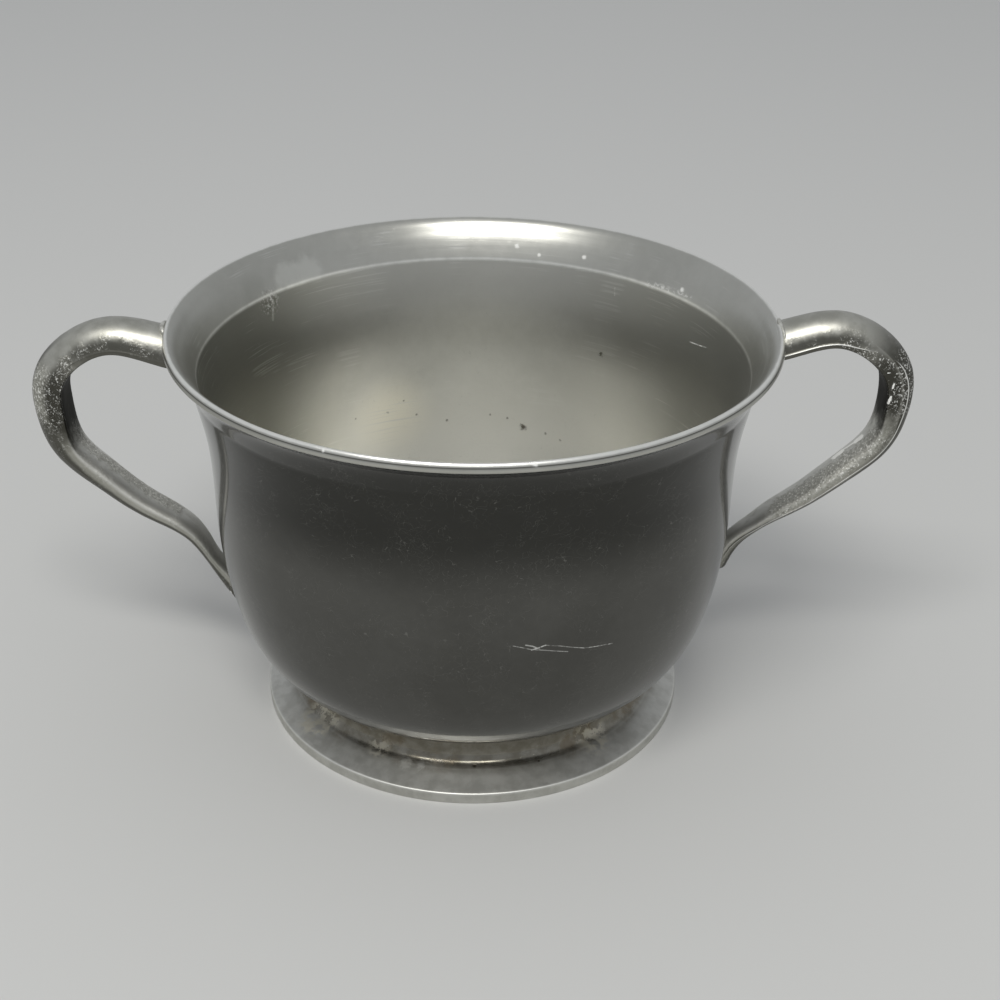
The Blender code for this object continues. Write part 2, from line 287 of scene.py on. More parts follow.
def cup_outside(flare_points, wall_points):
    """The cup's outer side in (radius, height), from the lip down to the edge of its flat bottom."""
    lip = np.array((RIM_RADIUS, RIM_HEIGHT - WALL))
    crease = np.array((CREASE_RADIUS, lip[1] - FLARE_RISE))
    lip_handle = lip - FLARE_UPPER_REACH * np.array((math.cos(LIP_ANGLE), math.sin(LIP_ANGLE)))
    crease_handle = crease + FLARE_LOWER_REACH * np.array((math.cos(CREASE_ANGLE), math.sin(CREASE_ANGLE)))
    flare = bezier(lip, lip_handle, crease_handle, crease, flare_points)
    stations = [tuple(crease), (THROAT_RADIUS, crease[1] - THROAT_DROP), *LOWER_WALL]
    return np.vstack([flare, smooth_route(stations, wall_points)[1:]])


outside = cup_outside(24, 116)
print("outer side:", len(outside), "points,", round(1000 * run_lengths(outside)[-1], 1), "mm long")


# %% The closed outline of the cup
def trimmed(outline, length):
    """The outline without its first stretch, starting exactly at that length."""
    run = run_lengths(outline)
    start = [np.interp(length, run, outline[:, k]) for k in (0, 1)]
    return np.vstack([[start], outline[run > length + 1e-5]])


def beyond(line, length):
    """The place that lies past the start of a line by a length."""
    back = line[0] - line[1]
    return line[0] + length * (back / np.linalg.norm(back))


def cup_outline():
    """Outline points and their marks, from the middle of the underside to the middle of the inner floor."""
    outer = trimmed(outside, LIP_TRIM)
    swell = LIP_SWELL * np.cos(np.minimum(run_lengths(outside) / LIP_SWELL_RUN, 1.0) * math.pi / 2) ** 2
    inner = trimmed(set_off(outside, -(WALL + swell)[:, None]), LIP_TRIM)
    nose = bezier(outer[0], beyond(outer, LIP_NOSE), beyond(inner, LIP_NOSE), inner[0], 13)
    flat = np.array([(radius, FLOOR_HEIGHT) for radius in FLAT_RADII])
    inner_flat = flat + (0.0, WALL)
    rows = [flat, outer[::-1], nose[1:-1], inner, inner_flat[::-1]]
    points = np.vstack(rows)
    counts = np.cumsum([len(row) for row in rows])
    return points, counts


cup_points, cup_counts = cup_outline()
print("cup outline:", len(cup_points), "points, widest", round(1000 * cup_points[:, 0].max(), 3), "mm")

# %% [markdown]
# ## Marks for the finish
# A finish changes from place to place: satin inside the cup, polished outside, pale where hands wear the
# lip. A material can only know where it is if the mesh tells it, so every outline point carries marks:
# how far along the outline it lies, whether it is inside, whether it is on the flare, and how worn it is,
# which below zero draws a painted dark line on the lip's nose.

# %% Marks along the cup's outline
def hump(run, place, width):
    """A smooth hump of height 1 round a place on an outline."""
    return np.exp(-((run - place) / width) ** 2)


def slope(values, low, high):
    """A smooth step from 0 to 1."""
    t = np.clip((values - low) / (high - low), 0.0, 1.0)
    return t * t * (3 - 2 * t)


def cup_marks():
    """The marks of each point of the cup's outline."""
    run = run_lengths(cup_points)
    lip_place = run[(cup_counts[1] + cup_counts[2]) // 2]
    inner = cup_points[cup_counts[2]:]
    crease_height = RIM_HEIGHT - WALL - FLARE_RISE + 0.0003
    arris = cup_counts[2] + int(np.argmin(np.abs(inner[:, 1] - crease_height)))
    crease_place = run[arris]
    inside = slope(run, lip_place - 0.0013, lip_place - 0.0009)
    flare = inside * (1.0 - slope(run, crease_place - 0.0001, crease_place + 0.0005))
    lip_wear = hump(run, lip_place + 0.00052, 0.00036)
    worn = np.maximum(lip_wear, 0.9 * hump(run, crease_place + 0.0001, 0.00018))
    # Below zero this mark draws a painted dark reflection line round the middle of the lip's nose.
    worn -= 0.9 * hump(run, lip_place - 0.00005, 0.00013)
    print("arris inside the crease at radius, height", np.round(1000 * cup_points[arris], 2), "mm")
    return {"run": 1000 * run, "inside": inside, "zone": flare, "worn": worn}


cup_marked = cup_marks()


# %% A marked line as a mesh
def marked_line(name, points, marks, closed=False):
    """A line of edges with marks on its points. Points are (radius, height) or (x, y, z)."""
    mesh = bpy.data.meshes.new(name)
    places = [(p[0], 0.0, p[1]) if len(p) == 2 else tuple(p) for p in points]
    edges = [(i, i + 1) for i in range(len(places) - 1)]
    if closed:
        edges.append((len(places) - 1, 0))
    mesh.from_pydata(places, edges, [])
    for label, values in marks.items():
        values = np.asarray(values, dtype=np.float32)
        kind = "FLOAT_VECTOR" if values.ndim == 2 else "FLOAT"
        field = "vector" if values.ndim == 2 else "value"
        mesh.attributes.new(label, kind, "POINT").data.foreach_set(field, values.ravel())
    return mesh


cup_line = marked_line("cup_line", cup_points, cup_marked)
print("marks on the line:", [a.name for a in cup_line.attributes])

# %% [markdown]
# ## A lathe made of nodes
# The cup, the foot ring and the ring of solder between them are all turned, so one Geometry Nodes tree
# makes all three. It lays out a grid with one column for each point of the outline and one row for each
# step round, reads the outline's point for its place, and bends the grid round the axis. Merging by
# distance then closes the seam and both poles. A slow noise presses the surface in by a few hundredths of
# a millimetre, because spun metal is never quite true, and that is what makes its reflections live.

# %% Opening and closing a tree
def new_tree(name, inputs):
    """A Geometry Nodes tree with a geometry in and out and more named inputs."""
    tree = bpy.data.node_groups.new(name, "GeometryNodeTree")
    tree.interface.new_socket("Geometry", in_out="OUTPUT", socket_type="NodeSocketGeometry")
    tree.interface.new_socket("Geometry", in_out="INPUT", socket_type="NodeSocketGeometry")
    for label, kind, start in inputs:
        socket = tree.interface.new_socket(label, in_out="INPUT", socket_type="NodeSocket" + kind)
        if start is not None:
            socket.default_value = start
    bench = Bench(tree)
    entry = tree.nodes.new("NodeGroupInput")
    return bench, {socket.name: Wire(bench, socket) for socket in entry.outputs if socket.name}


def close_tree(bench, shape, material):
    """Smooth shading, real geometry and a material, as every tree here ends."""
    smooth = bench.add("GeometryNodeSetShadeSmooth", None, {0: shape})
    real = bench.add("GeometryNodeRealizeInstances", None, {0: smooth})
    dressed = bench.add("GeometryNodeSetMaterial", None, {0: real, 2: material})
    bench.tree.links.new(dressed.socket, bench.tree.nodes.new("NodeGroupOutput").inputs[0])


def reader(bench, source, row):
    """A function that reads a mark of the source line at a row."""
    def read(label, kind="FLOAT"):
        field = bench.add("GeometryNodeInputPosition") if label == "position" else named(bench, label, kind)
        return bench.add("GeometryNodeSampleIndex", {"data_type": kind}, {0: source, 1: field, 2: row})
    return read


def grid_of(bench, line, columns):
    """A grid with a row for each point of the line, and the wires of its row and column numbers."""
    count = bench.add("GeometryNodeAttributeDomainSize", {"component": "MESH"}, {0: line})
    grid = bench.add("GeometryNodeMeshGrid", None, {"Vertices X": columns + 1, "Vertices Y": count})
    index = bench.add("GeometryNodeInputIndex")
    column = ((index + 0.5) / count).maths("FLOOR")
    return grid, index - column * count, column


MERGE_WITHIN = 0.000004
SURFACE_SHIFTS = (7.31, 3.17, 1.73)


def lumps(bench, size, seed, shifts):
    """A noise with lumps of a size, moved by the seed, so that no two pieces have the same."""
    place = bench.scaled(bench.add("GeometryNodeInputPosition"), 1.0 / size)
    return bench.noise(bench.along("ADD", place, bench.vector(*[seed * shift for shift in shifts])), 1.0)


def roughened(bench, shape, depth, size, seed, share=1.0):
    """Moves the surface along its normals by a noise, from the depth inwards to nothing."""
    press = lumps(bench, size, seed, SURFACE_SHIFTS) * depth * share * -1.0
    offset = bench.scaled(bench.add("GeometryNodeInputNormal"), press)
    return bench.add("GeometryNodeSetPosition", None, {0: shape, "Offset": offset})


def named(bench, label, kind="FLOAT"):
    """The mark of that name on the points."""
    return bench.add("GeometryNodeInputNamedAttribute", {"data_type": kind}, {"Name": label})


def merged(bench, shape):
    """The shape with its seam and its poles closed."""
    return bench.add("GeometryNodeMergeByDistance", None, {0: shape, "Distance": MERGE_WITHIN})


def stored(bench, shape, marks):
    """The shape with marks on its points, closed where its ends meet."""
    for label, value in marks.items():
        shape = bench.add(
            "GeometryNodeStoreNamedAttribute", {"data_type": "FLOAT", "domain": "POINT"},
            {0: shape, "Name": label, "Value": value},
        )
    return merged(bench, shape)


print("tree helpers ready")


# %% The lathe tree
LATHE_MARKS = ("run", "inside", "zone", "worn")


def lathe_tree():
    """Turns an outline in the XZ plane round the Z axis."""
    bench, given = new_tree("lathe", (
        ("Steps round", "Int", 224),
        ("Unevenness", "Float", 0.00003),
        ("Unevenness size", "Float", 0.016),
        ("Seed", "Int", 1),
        ("Material", "Material", None),
    ))
    line = given["Geometry"]
    grid, row, column = grid_of(bench, line, given["Steps round"])
    read = reader(bench, line, row)
    radius, _, height = bench.parts(read("position", "FLOAT_VECTOR"))
    angle = column / given["Steps round"] * math.tau
    place = bench.vector(
        radius * angle.maths("COSINE"), radius * angle.maths("SINE"), height,
    )
    shape = bench.add("GeometryNodeSetPosition", None, {0: grid, "Position": place})
    shape = stored(bench, shape, {label: read(label) for label in LATHE_MARKS})
    shape = roughened(bench, shape, given["Unevenness"], given["Unevenness size"], given["Seed"])
    close_tree(bench, shape, given["Material"])
    return bench.tree


lathe = lathe_tree()
print("lathe tree:", len(lathe.nodes), "nodes")


# %% Running a tree
def signed_volume(mesh):
    """The volume that a mesh encloses, negative when its faces point inwards."""
    mesh.calc_loop_triangles()
    corners = np.empty(len(mesh.loop_triangles) * 3, dtype=np.int32)
    mesh.loop_triangles.foreach_get("vertices", corners)
    places = np.empty(len(mesh.vertices) * 3)
    mesh.vertices.foreach_get("co", places)
    a, b, c = np.moveaxis(places.reshape(-1, 3)[corners.reshape(-1, 3)], 1, 0)
    return float(np.einsum("ij,ij->i", a, np.cross(b, c)).sum() / 6)


def built(name, source, tree, values):
    """Runs a tree on a line and keeps the result as a plain mesh with its faces outwards."""
    piece = bpy.data.objects.new(name, source)
    bpy.context.scene.collection.objects.link(piece)
    modifier = piece.modifiers.new("Make", "NODES")
    modifier.node_group = tree
    for item in tree.interface.items_tree:
        if item.in_out == "INPUT" and item.name in values:
            modifier[item.identifier] = values[item.name]
    depsgraph = bpy.context.evaluated_depsgraph_get()
    evaluated = piece.evaluated_get(depsgraph)
    mesh = bpy.data.meshes.new_from_object(evaluated, preserve_all_data_layers=True, depsgraph=depsgraph)
    piece.modifiers.remove(modifier)
    piece.data = mesh
    mesh.name = name
    if signed_volume(mesh) < 0:
        mesh.flip_normals()
    print(f"{name}: {len(mesh.vertices)} points, {1e6 * signed_volume(mesh):.3f} cm3")
    return piece


def belongs(piece, slot, *nodes):
    """The piece rides on the frame and stands for its CAD nodes; the slot is not used."""
    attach(piece, "root")
    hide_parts(*nodes)


FINISH_NAMES = (
    "spun_pewter_cup", "spun_pewter_foot", "cast_pewter_left", "cast_pewter_right", "tin_solder",
)
finishes = {name: bpy.data.materials.new(name) for name in FINISH_NAMES}
print("finishes to fill in:", list(finishes))

# %% Turn the cup
cup = built("cup", cup_line, lathe, {"Material": finishes["spun_pewter_cup"], "Seed": 3})
belongs(cup, "body", "bowl_body")

# %% [markdown]
# ## The foot ring
# The foot is a second spun ring. A short neck curves out from under the cup into a sloping flange with
# an upright edge, and the ring is hollow below, so that only a narrow ledge meets the table. Its corners
# get small radii from a helper that swaps each corner of the outline for a short curve.

# %% Sizes of the foot
FOOT_RADIUS = SEAT_RADIUS + 0.00545
FOOT_EDGE = 0.00165
FOOT_LEDGE = 0.0022
SHOULDER = np.array((FOOT_RADIUS - 0.0038, FOOT_EDGE + 0.00135))
SWEEP_SHARE = 0.35
BEND_SHARE = 0.45
NECK_FALL = 0.34
HOLLOW_RISE = 0.6
NECK_WALL = 0.0012
SEAM = 0.00042


def eased_corner(points, at, radius, count=6):
    """The outline with one corner swapped for a short curve."""
    points = np.asarray(points, dtype=float)
    before, corner, after = points[at - 1], points[at], points[at + 1]
    start = corner + radius * (before - corner) / np.linalg.norm(before - corner)
    end = corner + radius * (after - corner) / np.linalg.norm(after - corner)
    curve = bezier(start, (start + 2 * corner) / 3, (end + 2 * corner) / 3, end, count)
    return np.vstack([points[:at], curve, points[at + 1:]])


def under_cup(distance, radii):
    """Points below the cup's underside, off it by a distance, at these radii."""
    low = set_off(outside, distance)[-60:][::-1]
    return [(radius, float(np.interp(radius, low[:, 0], low[:, 1]))) for radius in radii]


def foot_outline():
    """The foot ring's closed outline: neck, flange, edge, ledge, hollow and top."""
    top = under_cup(SEAM, np.linspace(SEAT_RADIUS, SEAT_RADIUS - NECK_WALL, 5))
    rise = top[0][1] - SHOULDER[1]
    edge_top = np.array((FOOT_RADIUS, FOOT_EDGE))
    sweep_end = SHOULDER + SWEEP_SHARE * (edge_top - SHOULDER)
    bend_from = SHOULDER - BEND_SHARE * (edge_top - SHOULDER)
    neck = bezier(top[0], (SEAT_RADIUS, SHOULDER[1] + NECK_FALL * rise), bend_from, sweep_end, 30)
    flange = np.linspace(sweep_end, edge_top, 9)
    hollow_top = SHOULDER[1] - NECK_WALL
    ledge_in = FOOT_RADIUS - FOOT_LEDGE
    hollow = bezier((ledge_in, 0.0), (ledge_in, HOLLOW_RISE * hollow_top),
                    (SEAT_RADIUS - NECK_WALL, hollow_top), top[-1], 22)
    edge = np.linspace(edge_top, (FOOT_RADIUS, 0.0), 5)
    ledge = np.linspace((FOOT_RADIUS, 0.0), hollow[0], 5)
    parts = [neck, flange[1:], edge[1:], ledge[1:], hollow[1:], top[::-1][1:-1]]
    points = np.vstack(parts)
    corners = np.cumsum([len(part) for part in parts]) - 1
    for at, radius in ((corners[3], 0.00018), (corners[2], 0.00016), (corners[1], 0.00020)):
        points = eased_corner(points, at, radius)
    return np.vstack([points, points[:1]])[::-1]


foot_points = foot_outline()
print("foot:", len(foot_points), "points, widest", round(1000 * foot_points[:, 0].max(), 2), "mm")


# %% Marks on the foot, and turn it
def foot_marks(points):
    """Worn along the flange's edge and faintly at the shoulder, stained on the neck, hollow below."""
    run = run_lengths(points)
    ridge = run[int(np.argmin(np.hypot(*(points - SHOULDER).T)))]
    rim = run[int(np.argmin(np.hypot(*(points - (FOOT_RADIUS, FOOT_EDGE)).T)))]
    worn = np.maximum(hump(run, rim, 0.00022), 0.15 * hump(run, ridge, 0.00016))
    stained = slope(run, ridge - 0.0016, ridge + 0.0010)
    hollow = 1.0 - slope(run, rim - 0.0018, rim - 0.0016)
    return {"run": 1000 * run, "inside": hollow, "zone": stained, "worn": worn}


foot_line = marked_line("foot_line", foot_points, foot_marks(foot_points))
foot = built("foot_ring_spun", foot_line, lathe, {
    "Material": finishes["spun_pewter_foot"], "Seed": 8, "Steps round": 208, "Unevenness": 0.00002,
})
belongs(foot, "foot", "foot_ring")

# %% [markdown]
# ## The seam of solder
# Tin solder fills the crack between the cup and the neck, and shows as one thin bright line. Its outline
# bulges a little past the neck, and its top and bottom run a hair into both neighbours, so no gap shows.

# %% Turn the seam
def seam_outline():
    """A flat ring of solder with a rounded outer side."""
    inner, outer = SEAT_RADIUS - NECK_WALL - 0.0003, SEAT_RADIUS + 0.0001
    top = under_cup(-0.00006, np.linspace(inner, outer + 0.00006, 6))
    bottom = under_cup(SEAM + 0.0001, np.linspace(outer, inner, 6))
    bulge = bezier(top[-1], (outer + 0.00042, top[-1][1]), (outer + 0.00030, bottom[0][1]), bottom[0], 8)
    return np.vstack([top, bulge[1:-1], bottom, top[:1]])[::-1]


seam_points = seam_outline()
seam_marks = {label: np.zeros(len(seam_points)) for label in LATHE_MARKS}
seam = built("seam_of_solder", marked_line("seam_line", seam_points, seam_marks), lathe, {
    "Material": finishes["tin_solder"], "Seed": 5, "Steps round": 208,
    "Unevenness": 0.00008, "Unevenness size": 0.0022,
})
belongs(seam, "solder", "solder_foot_seam")

# %% [markdown]
# ## The handles
# Each handle is an ear of cast pewter. Both come from one mould, and the right one is soldered on a
# little higher. A handle is a section swept along a route: a domed outer side, a flatter inner side, and
# between them the thin ridge that the joint of the mould leaves. Its width and thickness change along
# the route. All of that follows a rule, so it is again a tree: the stations of the route carry the
# sizes as marks, and the tree works out each point of the surface from its station and its turn.

# %% Sizes of the handles
HANDLE_REACH = 0.0209
HANDLE_TOP_DROP = 0.00335
HANDLE_DROP = RIM_HEIGHT - HANDLE_TOP_DROP - 0.01645
HANDLE_LIFT = 0.00082
HANDLE_ROOT_DEPTH = 0.0025
TAIL_LANDING = 0.0042
TAIL_STACK = 0.0010
TAIL_BED = 0.00015
HANDLE_BOW = (
    (-0.024, 0.012), (0.1225, 0.000), (0.524, -0.050), (0.796, 0.005), (0.984, 0.131),
    (0.993, 0.255), (0.921, 0.384), (0.687, 0.512), (0.400, 0.634), (0.1174, 0.735),
)
HANDLE_SIZES = (
    (0.0080, 0.0040), (0.0073, 0.0045), (0.0068, 0.0044),
    (0.0063, 0.0036), (0.0055, 0.0024), (0.0018, 0.0011),
)
STATIONS = 300
EASED_OVER = 25


def off_wall(height, distance):
    """The place that lies off the cup's wall by a distance, square to it at a height."""
    moved = set_off(outside, distance)
    return tuple(float(np.interp(height, outside[::-1, 1], moved[::-1, k])) for k in (0, 1))


def handle_route(side, tail_height):
    """The middle line of a handle in (radius, height), from inside the lip to the tail's tip."""
    top = RIM_HEIGHT - HANDLE_TOP_DROP + side * HANDLE_LIFT
    root = (CREASE_RADIUS - HANDLE_ROOT_DEPTH, top - HANDLE_DROP * HANDLE_BOW[0][1])
    bow = [(CREASE_RADIUS + HANDLE_REACH * out, top - HANDLE_DROP * down) for out, down in HANDLE_BOW]
    landing = off_wall(tail_height + TAIL_LANDING, TAIL_STACK + HANDLE_SIZES[4][1] / 2)
    tip = off_wall(tail_height, TAIL_STACK + HANDLE_SIZES[5][1] / 2)
    return smooth_route([root, *bow, landing, tip], STATIONS)


def handle_sizes():
    """Width and thickness at each station."""
    marks = np.linspace(0.0, 1.0, len(HANDLE_SIZES))
    spread = smooth_route([(mark, *size) for mark, size in zip(marks, HANDLE_SIZES)], STATIONS)
    return spread[:, 1], spread[:, 2]


print("route of the left handle:", np.round(1000 * handle_route(-1, 0.0142)[::60], 1).tolist())


# %% [markdown]
# The section is a D: a dome on the outer side and a nearly flat inner side. The ridge of the mould wanders
# over its flank. Along the top it lies near the inner side, round the bend it crosses to the outer side,
# sooner and further on the right handle, and down the lower run it comes back to the middle. Its course
# is a short list of places along the handle and values there, as shares of the thickness, eased into each
# other. A second list says how far the ridge stands out, as a share of its full height.

# %% The course of the ridge
RIDGE_HALF_WIDTH = 0.00015
LEFT_RIDGE = ((0, -0.30), (0.22, -0.30), (0.37, -0.10), (0.50, 0.14), (0.62, 0.04), (0.80, -0.06), (1, -0.10))
RIGHT_RIDGE = ((0, -0.30), (0.25, -0.28), (0.34, 0.18), (0.42, 0.24), (0.60, 0.07), (0.75, 0.03), (1, -0.05))
INNER_POWER = 4.4
SHOULDER_DEPTH = 0.0007
LOWER_SHOULDER_DEPTH = 0.0015
SHOULDER_LIMIT = 0.42
POWER_DROP = 1.6
CASTING_TRIM = 0.994
TIP_ROUNDING = 0.0011
LOWER_FULLNESS = 0.00025
LEFT_BEAD = ((0, 0), (0.05, 0.4), (0.14, 0.9), (0.33, 1), (0.43, 0.4), (0.60, 0.45), (0.90, 0.5), (0.97, 0))
RIGHT_BEAD = ((0, 0), (0.05, 0.7), (0.24, 1), (0.31, 0.15), (0.36, 0.9), (0.80, 0.8), (0.93, 0.6), (0.98, 0))


def along_handle(pairs):
    """Values at every station from pairs of share and value, eased over a few stations."""
    share, value = np.array(pairs, dtype=float).T
    stepped = np.interp(np.linspace(-0.04, 1.04, STATIONS + EASED_OVER - 1), share, value)
    window = np.hanning(EASED_OVER + 2)[1:-1]
    return np.convolve(stepped, window / window.sum(), "valid")


print("stations with a value:", len(along_handle(LEFT_RIDGE)))


# %% Stations of a handle
def handle_stations(side, tail_height, ridge, bead, full, swell):
    """The stations of one handle, from its root to its tail, with their sizes as marks.

    The handle is thicker by the full value at its root, and by the swell round its bend.
    """
    route = handle_route(side, tail_height)
    width, thick = handle_sizes()
    ahead = directions(route)
    share = np.linspace(0.0, 1.0, STATIONS)
    run = run_lengths(route)
    left = run[-1] - run
    bed = slope(-left, -0.0105, -TAIL_LANDING) * (TAIL_STACK + TAIL_BED)
    out = np.stack([-side * ahead[:, 1], 0 * share, ahead[:, 0]], axis=-1)
    base = np.stack([side * route[:, 0], 0 * share, route[:, 1]], axis=-1)
    root = full * (1.0 - slope(share, 0.04, 0.20))
    bend = swell * hump(share, 0.42, 0.11)
    bend = bend + LOWER_FULLNESS * slope(share, 0.45, 0.6) * slope(-share, -0.92, -0.8)
    base += out * ((root - bed - bend) / 2)[:, None]
    thick = thick + bed + root + bend
    shoulder = SHOULDER_DEPTH + (LOWER_SHOULDER_DEPTH - SHOULDER_DEPTH) * slope(share, 0.40, 0.60)
    ends = np.minimum(1.0, left / TIP_ROUNDING)
    ends = np.sqrt(np.maximum(1.0 - (1.0 - ends) ** 2, 0.0))
    ends[0] = 0.0
    marks = {
        "out": out,
        "width": width * ends * CASTING_TRIM,
        "thick": thick * ends * CASTING_TRIM,
        "ledge": -0.5 * thick * ends + np.minimum(shoulder, SHOULDER_LIMIT * thick) * ends,
        "ridge": thick * ends * along_handle(ridge),
        "bead": ends * bead,
        "power": INNER_POWER - POWER_DROP * slope(share, 0.40, 0.55),
        "along": share,
    }
    return marked_line("stations", base, marks)


left_stations = handle_stations(-1, 0.0142, LEFT_RIDGE, 0.00011 * along_handle(LEFT_BEAD), 0.0008, 0.0006)
right_stations = handle_stations(1, 0.0200, RIGHT_RIDGE, 0.00024 * along_handle(RIGHT_BEAD), 0.0004, 0.0002)
print("stations on each handle:", STATIONS)


# %% The casting tree
CROWDING = 0.16
ROUGH_EVERYWHERE = 0.12
SEAM_MARK = 5000.0  # the mark is 1 where the ridge stands out by 0.2 mm


def casting_tree():
    """Sweeps a D section with a mould ridge along marked stations."""
    bench, given = new_tree("casting", (
        ("Points round", "Int", 200),
        ("Side", "Float", 1.0),
        ("Waviness", "Float", 0.00009),
        ("Wave size", "Float", 0.0030),
        ("Grain", "Float", 0.000035),
        ("Grain size", "Float", 0.00042),
        ("Seed", "Int", 1),
        ("Material", "Material", None),
    ))
    grid, row, column = grid_of(bench, given["Geometry"], given["Points round"])
    read = reader(bench, given["Geometry"], row)
    turn = column / given["Points round"] * math.tau
    turn = turn - (turn * 2.0).maths("SINE") * CROWDING
    cosine, sine = turn.maths("COSINE"), turn.maths("SINE")
    inner = sine.maths("LESS_THAN", 0.0)
    power = inner * (read("power") - 2.0) + 2.0
    norm = (abs(cosine) ** power + abs(sine) ** power) ** (1.0 / power)
    across, lift = cosine / norm, sine / norm
    middle = read("ledge")
    half = read("thick") * 0.5
    reach = half - middle + inner * (middle * 2.0)
    height = middle + lift * reach
    above_ridge = (height - read("ridge")) / RIDGE_HALF_WIDTH
    ridge = (above_ridge * above_ridge * -1.0).maths("EXPONENT") * read("bead")
    flank = abs(across) * (read("width") * 0.5 - read("bead")) + ridge * abs(across) ** 0.3
    sideways = across.maths("SIGN") * flank * given["Side"]
    lifted = bench.scaled(read("out", "FLOAT_VECTOR"), height)
    place = bench.along("ADD", read("position", "FLOAT_VECTOR"), lifted)
    place = bench.along("ADD", place, bench.vector(0.0, sideways, 0.0))
    shape = bench.add("GeometryNodeSetPosition", None, {0: grid, "Position": place})
    shape = stored(bench, shape, {"along": read("along"), "around": lift, "seam": ridge * SEAM_MARK})
    shape = roughened(bench, shape, given["Waviness"], given["Wave size"], given["Seed"])
    around, along = named(bench, "around"), named(bench, "along")
    shoulder = bench.ease(along, 0.29, 0.36) * bench.ease(along, 0.50, 0.43) * bench.ease(around, -0.7, -0.2)
    inner_run = bench.ease(along, 0.44, 0.52) * bench.ease(around, -0.40, -0.75)
    rough = bench.most(shoulder, inner_run, ROUGH_EVERYWHERE)
    shape = roughened(bench, shape, given["Grain"], given["Grain size"], given["Seed"], rough)
    close_tree(bench, shape, given["Material"])
    return bench.tree


casting = casting_tree()
print("casting tree:", len(casting.nodes), "nodes")

# %% [markdown]
# ## Fitting the handles to the cup
# On the real bowl the root of each handle is filed to the curve of the lip and its tail lies on the
# belly. A Boolean would leave a ragged edge in the mesh. Here every point of the handle that has sunk
# into the wall is pressed back to a quarter of a millimetre below its surface instead, so the piece
# stays one clean closed skin, follows the wall, and never shows inside the cup.

# %% The outer face of the cup as a fine line
FACE_TOP = 0.0660
FACE_STEP = 0.0004
FACE_COUNT = 1700


def cup_face():
    """Closely spaced points down the cup's outer face, with their outward directions."""
    widest = cup_counts[1] + int(np.argmax(cup_points[cup_counts[1]:cup_counts[2], 0]))
    crown = cup_counts[1] + int(np.argmax(cup_points[cup_counts[1]:cup_counts[2], 1]))
    face = cup_points[cup_counts[0]:max(widest, crown) + 1][::-1]
    above = [(face[0][0], height) for height in np.arange(FACE_TOP, face[0][1] + 0.0001, -FACE_STEP)]
    face = np.vstack([above, face])
    run = run_lengths(face)
    even = np.linspace(0.0, run[-1], FACE_COUNT)
    face = np.stack([np.interp(even, run, face[:, k]) for k in (0, 1)], axis=-1)
    ahead = directions(face)
    return face, np.stack([-ahead[:, 1], ahead[:, 0]], axis=-1)


face_points, face_outwards = cup_face()


def nearest_face(places):
    """For each place: its distance off the cup's outer face, and the nearest point's number."""
    flat = np.stack([np.hypot(places[:, 0], places[:, 1]), places[:, 2]], axis=-1)
    nearest = np.empty(len(flat), dtype=int)
    for start in range(0, len(flat), 2000):
        part = flat[start:start + 2000, None, :] - face_points[None]
        nearest[start:start + 2000] = np.argmin((part ** 2).sum(axis=2), axis=1)
    return ((flat - face_points[nearest]) * face_outwards[nearest]).sum(axis=1), nearest


def vertices_of(mesh):
    places = np.empty(len(mesh.vertices) * 3)
    mesh.vertices.foreach_get("co", places)
    return places.reshape(-1, 3)


def press_out(piece, depth):
    """Presses the sunken points of a piece back to a depth below the cup's outer face."""
    places = vertices_of(piece.data)
    off, nearest = nearest_face(places)
    sunken = off < -depth
    target = face_points[nearest] - depth * face_outwards[nearest]
    radius = np.maximum(np.hypot(places[:, 0], places[:, 1]), 1e-6)
    places[sunken, :2] *= (target[:, 0] / radius)[sunken, None]
    places[sunken, 2] = target[sunken, 1]
    piece.data.vertices.foreach_set("co", places.ravel())
    piece.data.update()
    print(f"{piece.name}: {int(sunken.sum())} of {len(places)} points pressed out")


print("outer face:", len(face_points), "points from height", round(1000 * face_points[0][1], 1), "mm down")

# %% Cast both handles
handle_left = built("ear_handle_left", left_stations, casting, {
    "Material": finishes["cast_pewter_left"], "Seed": 4, "Side": -1.0,
})
handle_right = built("ear_handle_right", right_stations, casting, {
    "Material": finishes["cast_pewter_right"], "Seed": 9,
})
HANDLE_SUNK = 0.00025
for piece, node in ((handle_left, "handle_left"), (handle_right, "handle_right")):
    press_out(piece, HANDLE_SUNK)
    belongs(piece, "handles", node)

# %% [markdown]
# ## Solder at the joints
# Each handle is held by two joints. At the lip a bead of solder runs round the end of the handle, and at
# the tail a thinner one runs round its bed on the belly. Both are beads along a closed path, so one
# small tree sweeps a circle along a path and lets its radius wander.

# %% The bead tree
BEAD_SHIFTS = (5.3, 0.0, 0.0)
BEAD_SUNK = 0.0004


def bead_tree():
    """Sweeps an uneven bead along a closed path."""
    bench, given = new_tree("bead of solder", (
        ("Radius", "Float", 0.0003),
        ("Unevenness", "Float", 0.35),
        ("Lump size", "Float", 0.0016),
        ("Seed", "Int", 1),
        ("Material", "Material", None),
    ))
    path = bench.add("GeometryNodeMeshToCurve", None, {0: given["Geometry"]})
    path = bench.add("GeometryNodeResampleCurve", None, {0: path, "Count": 150})
    noise = lumps(bench, given["Lump size"], given["Seed"], BEAD_SHIFTS)
    swell = (noise - 0.5) * 2.0 * given["Unevenness"] + 1.0
    ring = bench.add("GeometryNodeCurvePrimitiveCircle", None, {"Resolution": 14, "Radius": given["Radius"]})
    shape = bench.add("GeometryNodeCurveToMesh", None, {0: path, 1: ring, "Scale": swell})
    close_tree(bench, merged(bench, shape), given["Material"])
    return bench.tree


bead = bead_tree()
print("bead tree:", len(bead.nodes), "nodes")


# %% Paths round the joints
BED_SHARE = 0.47


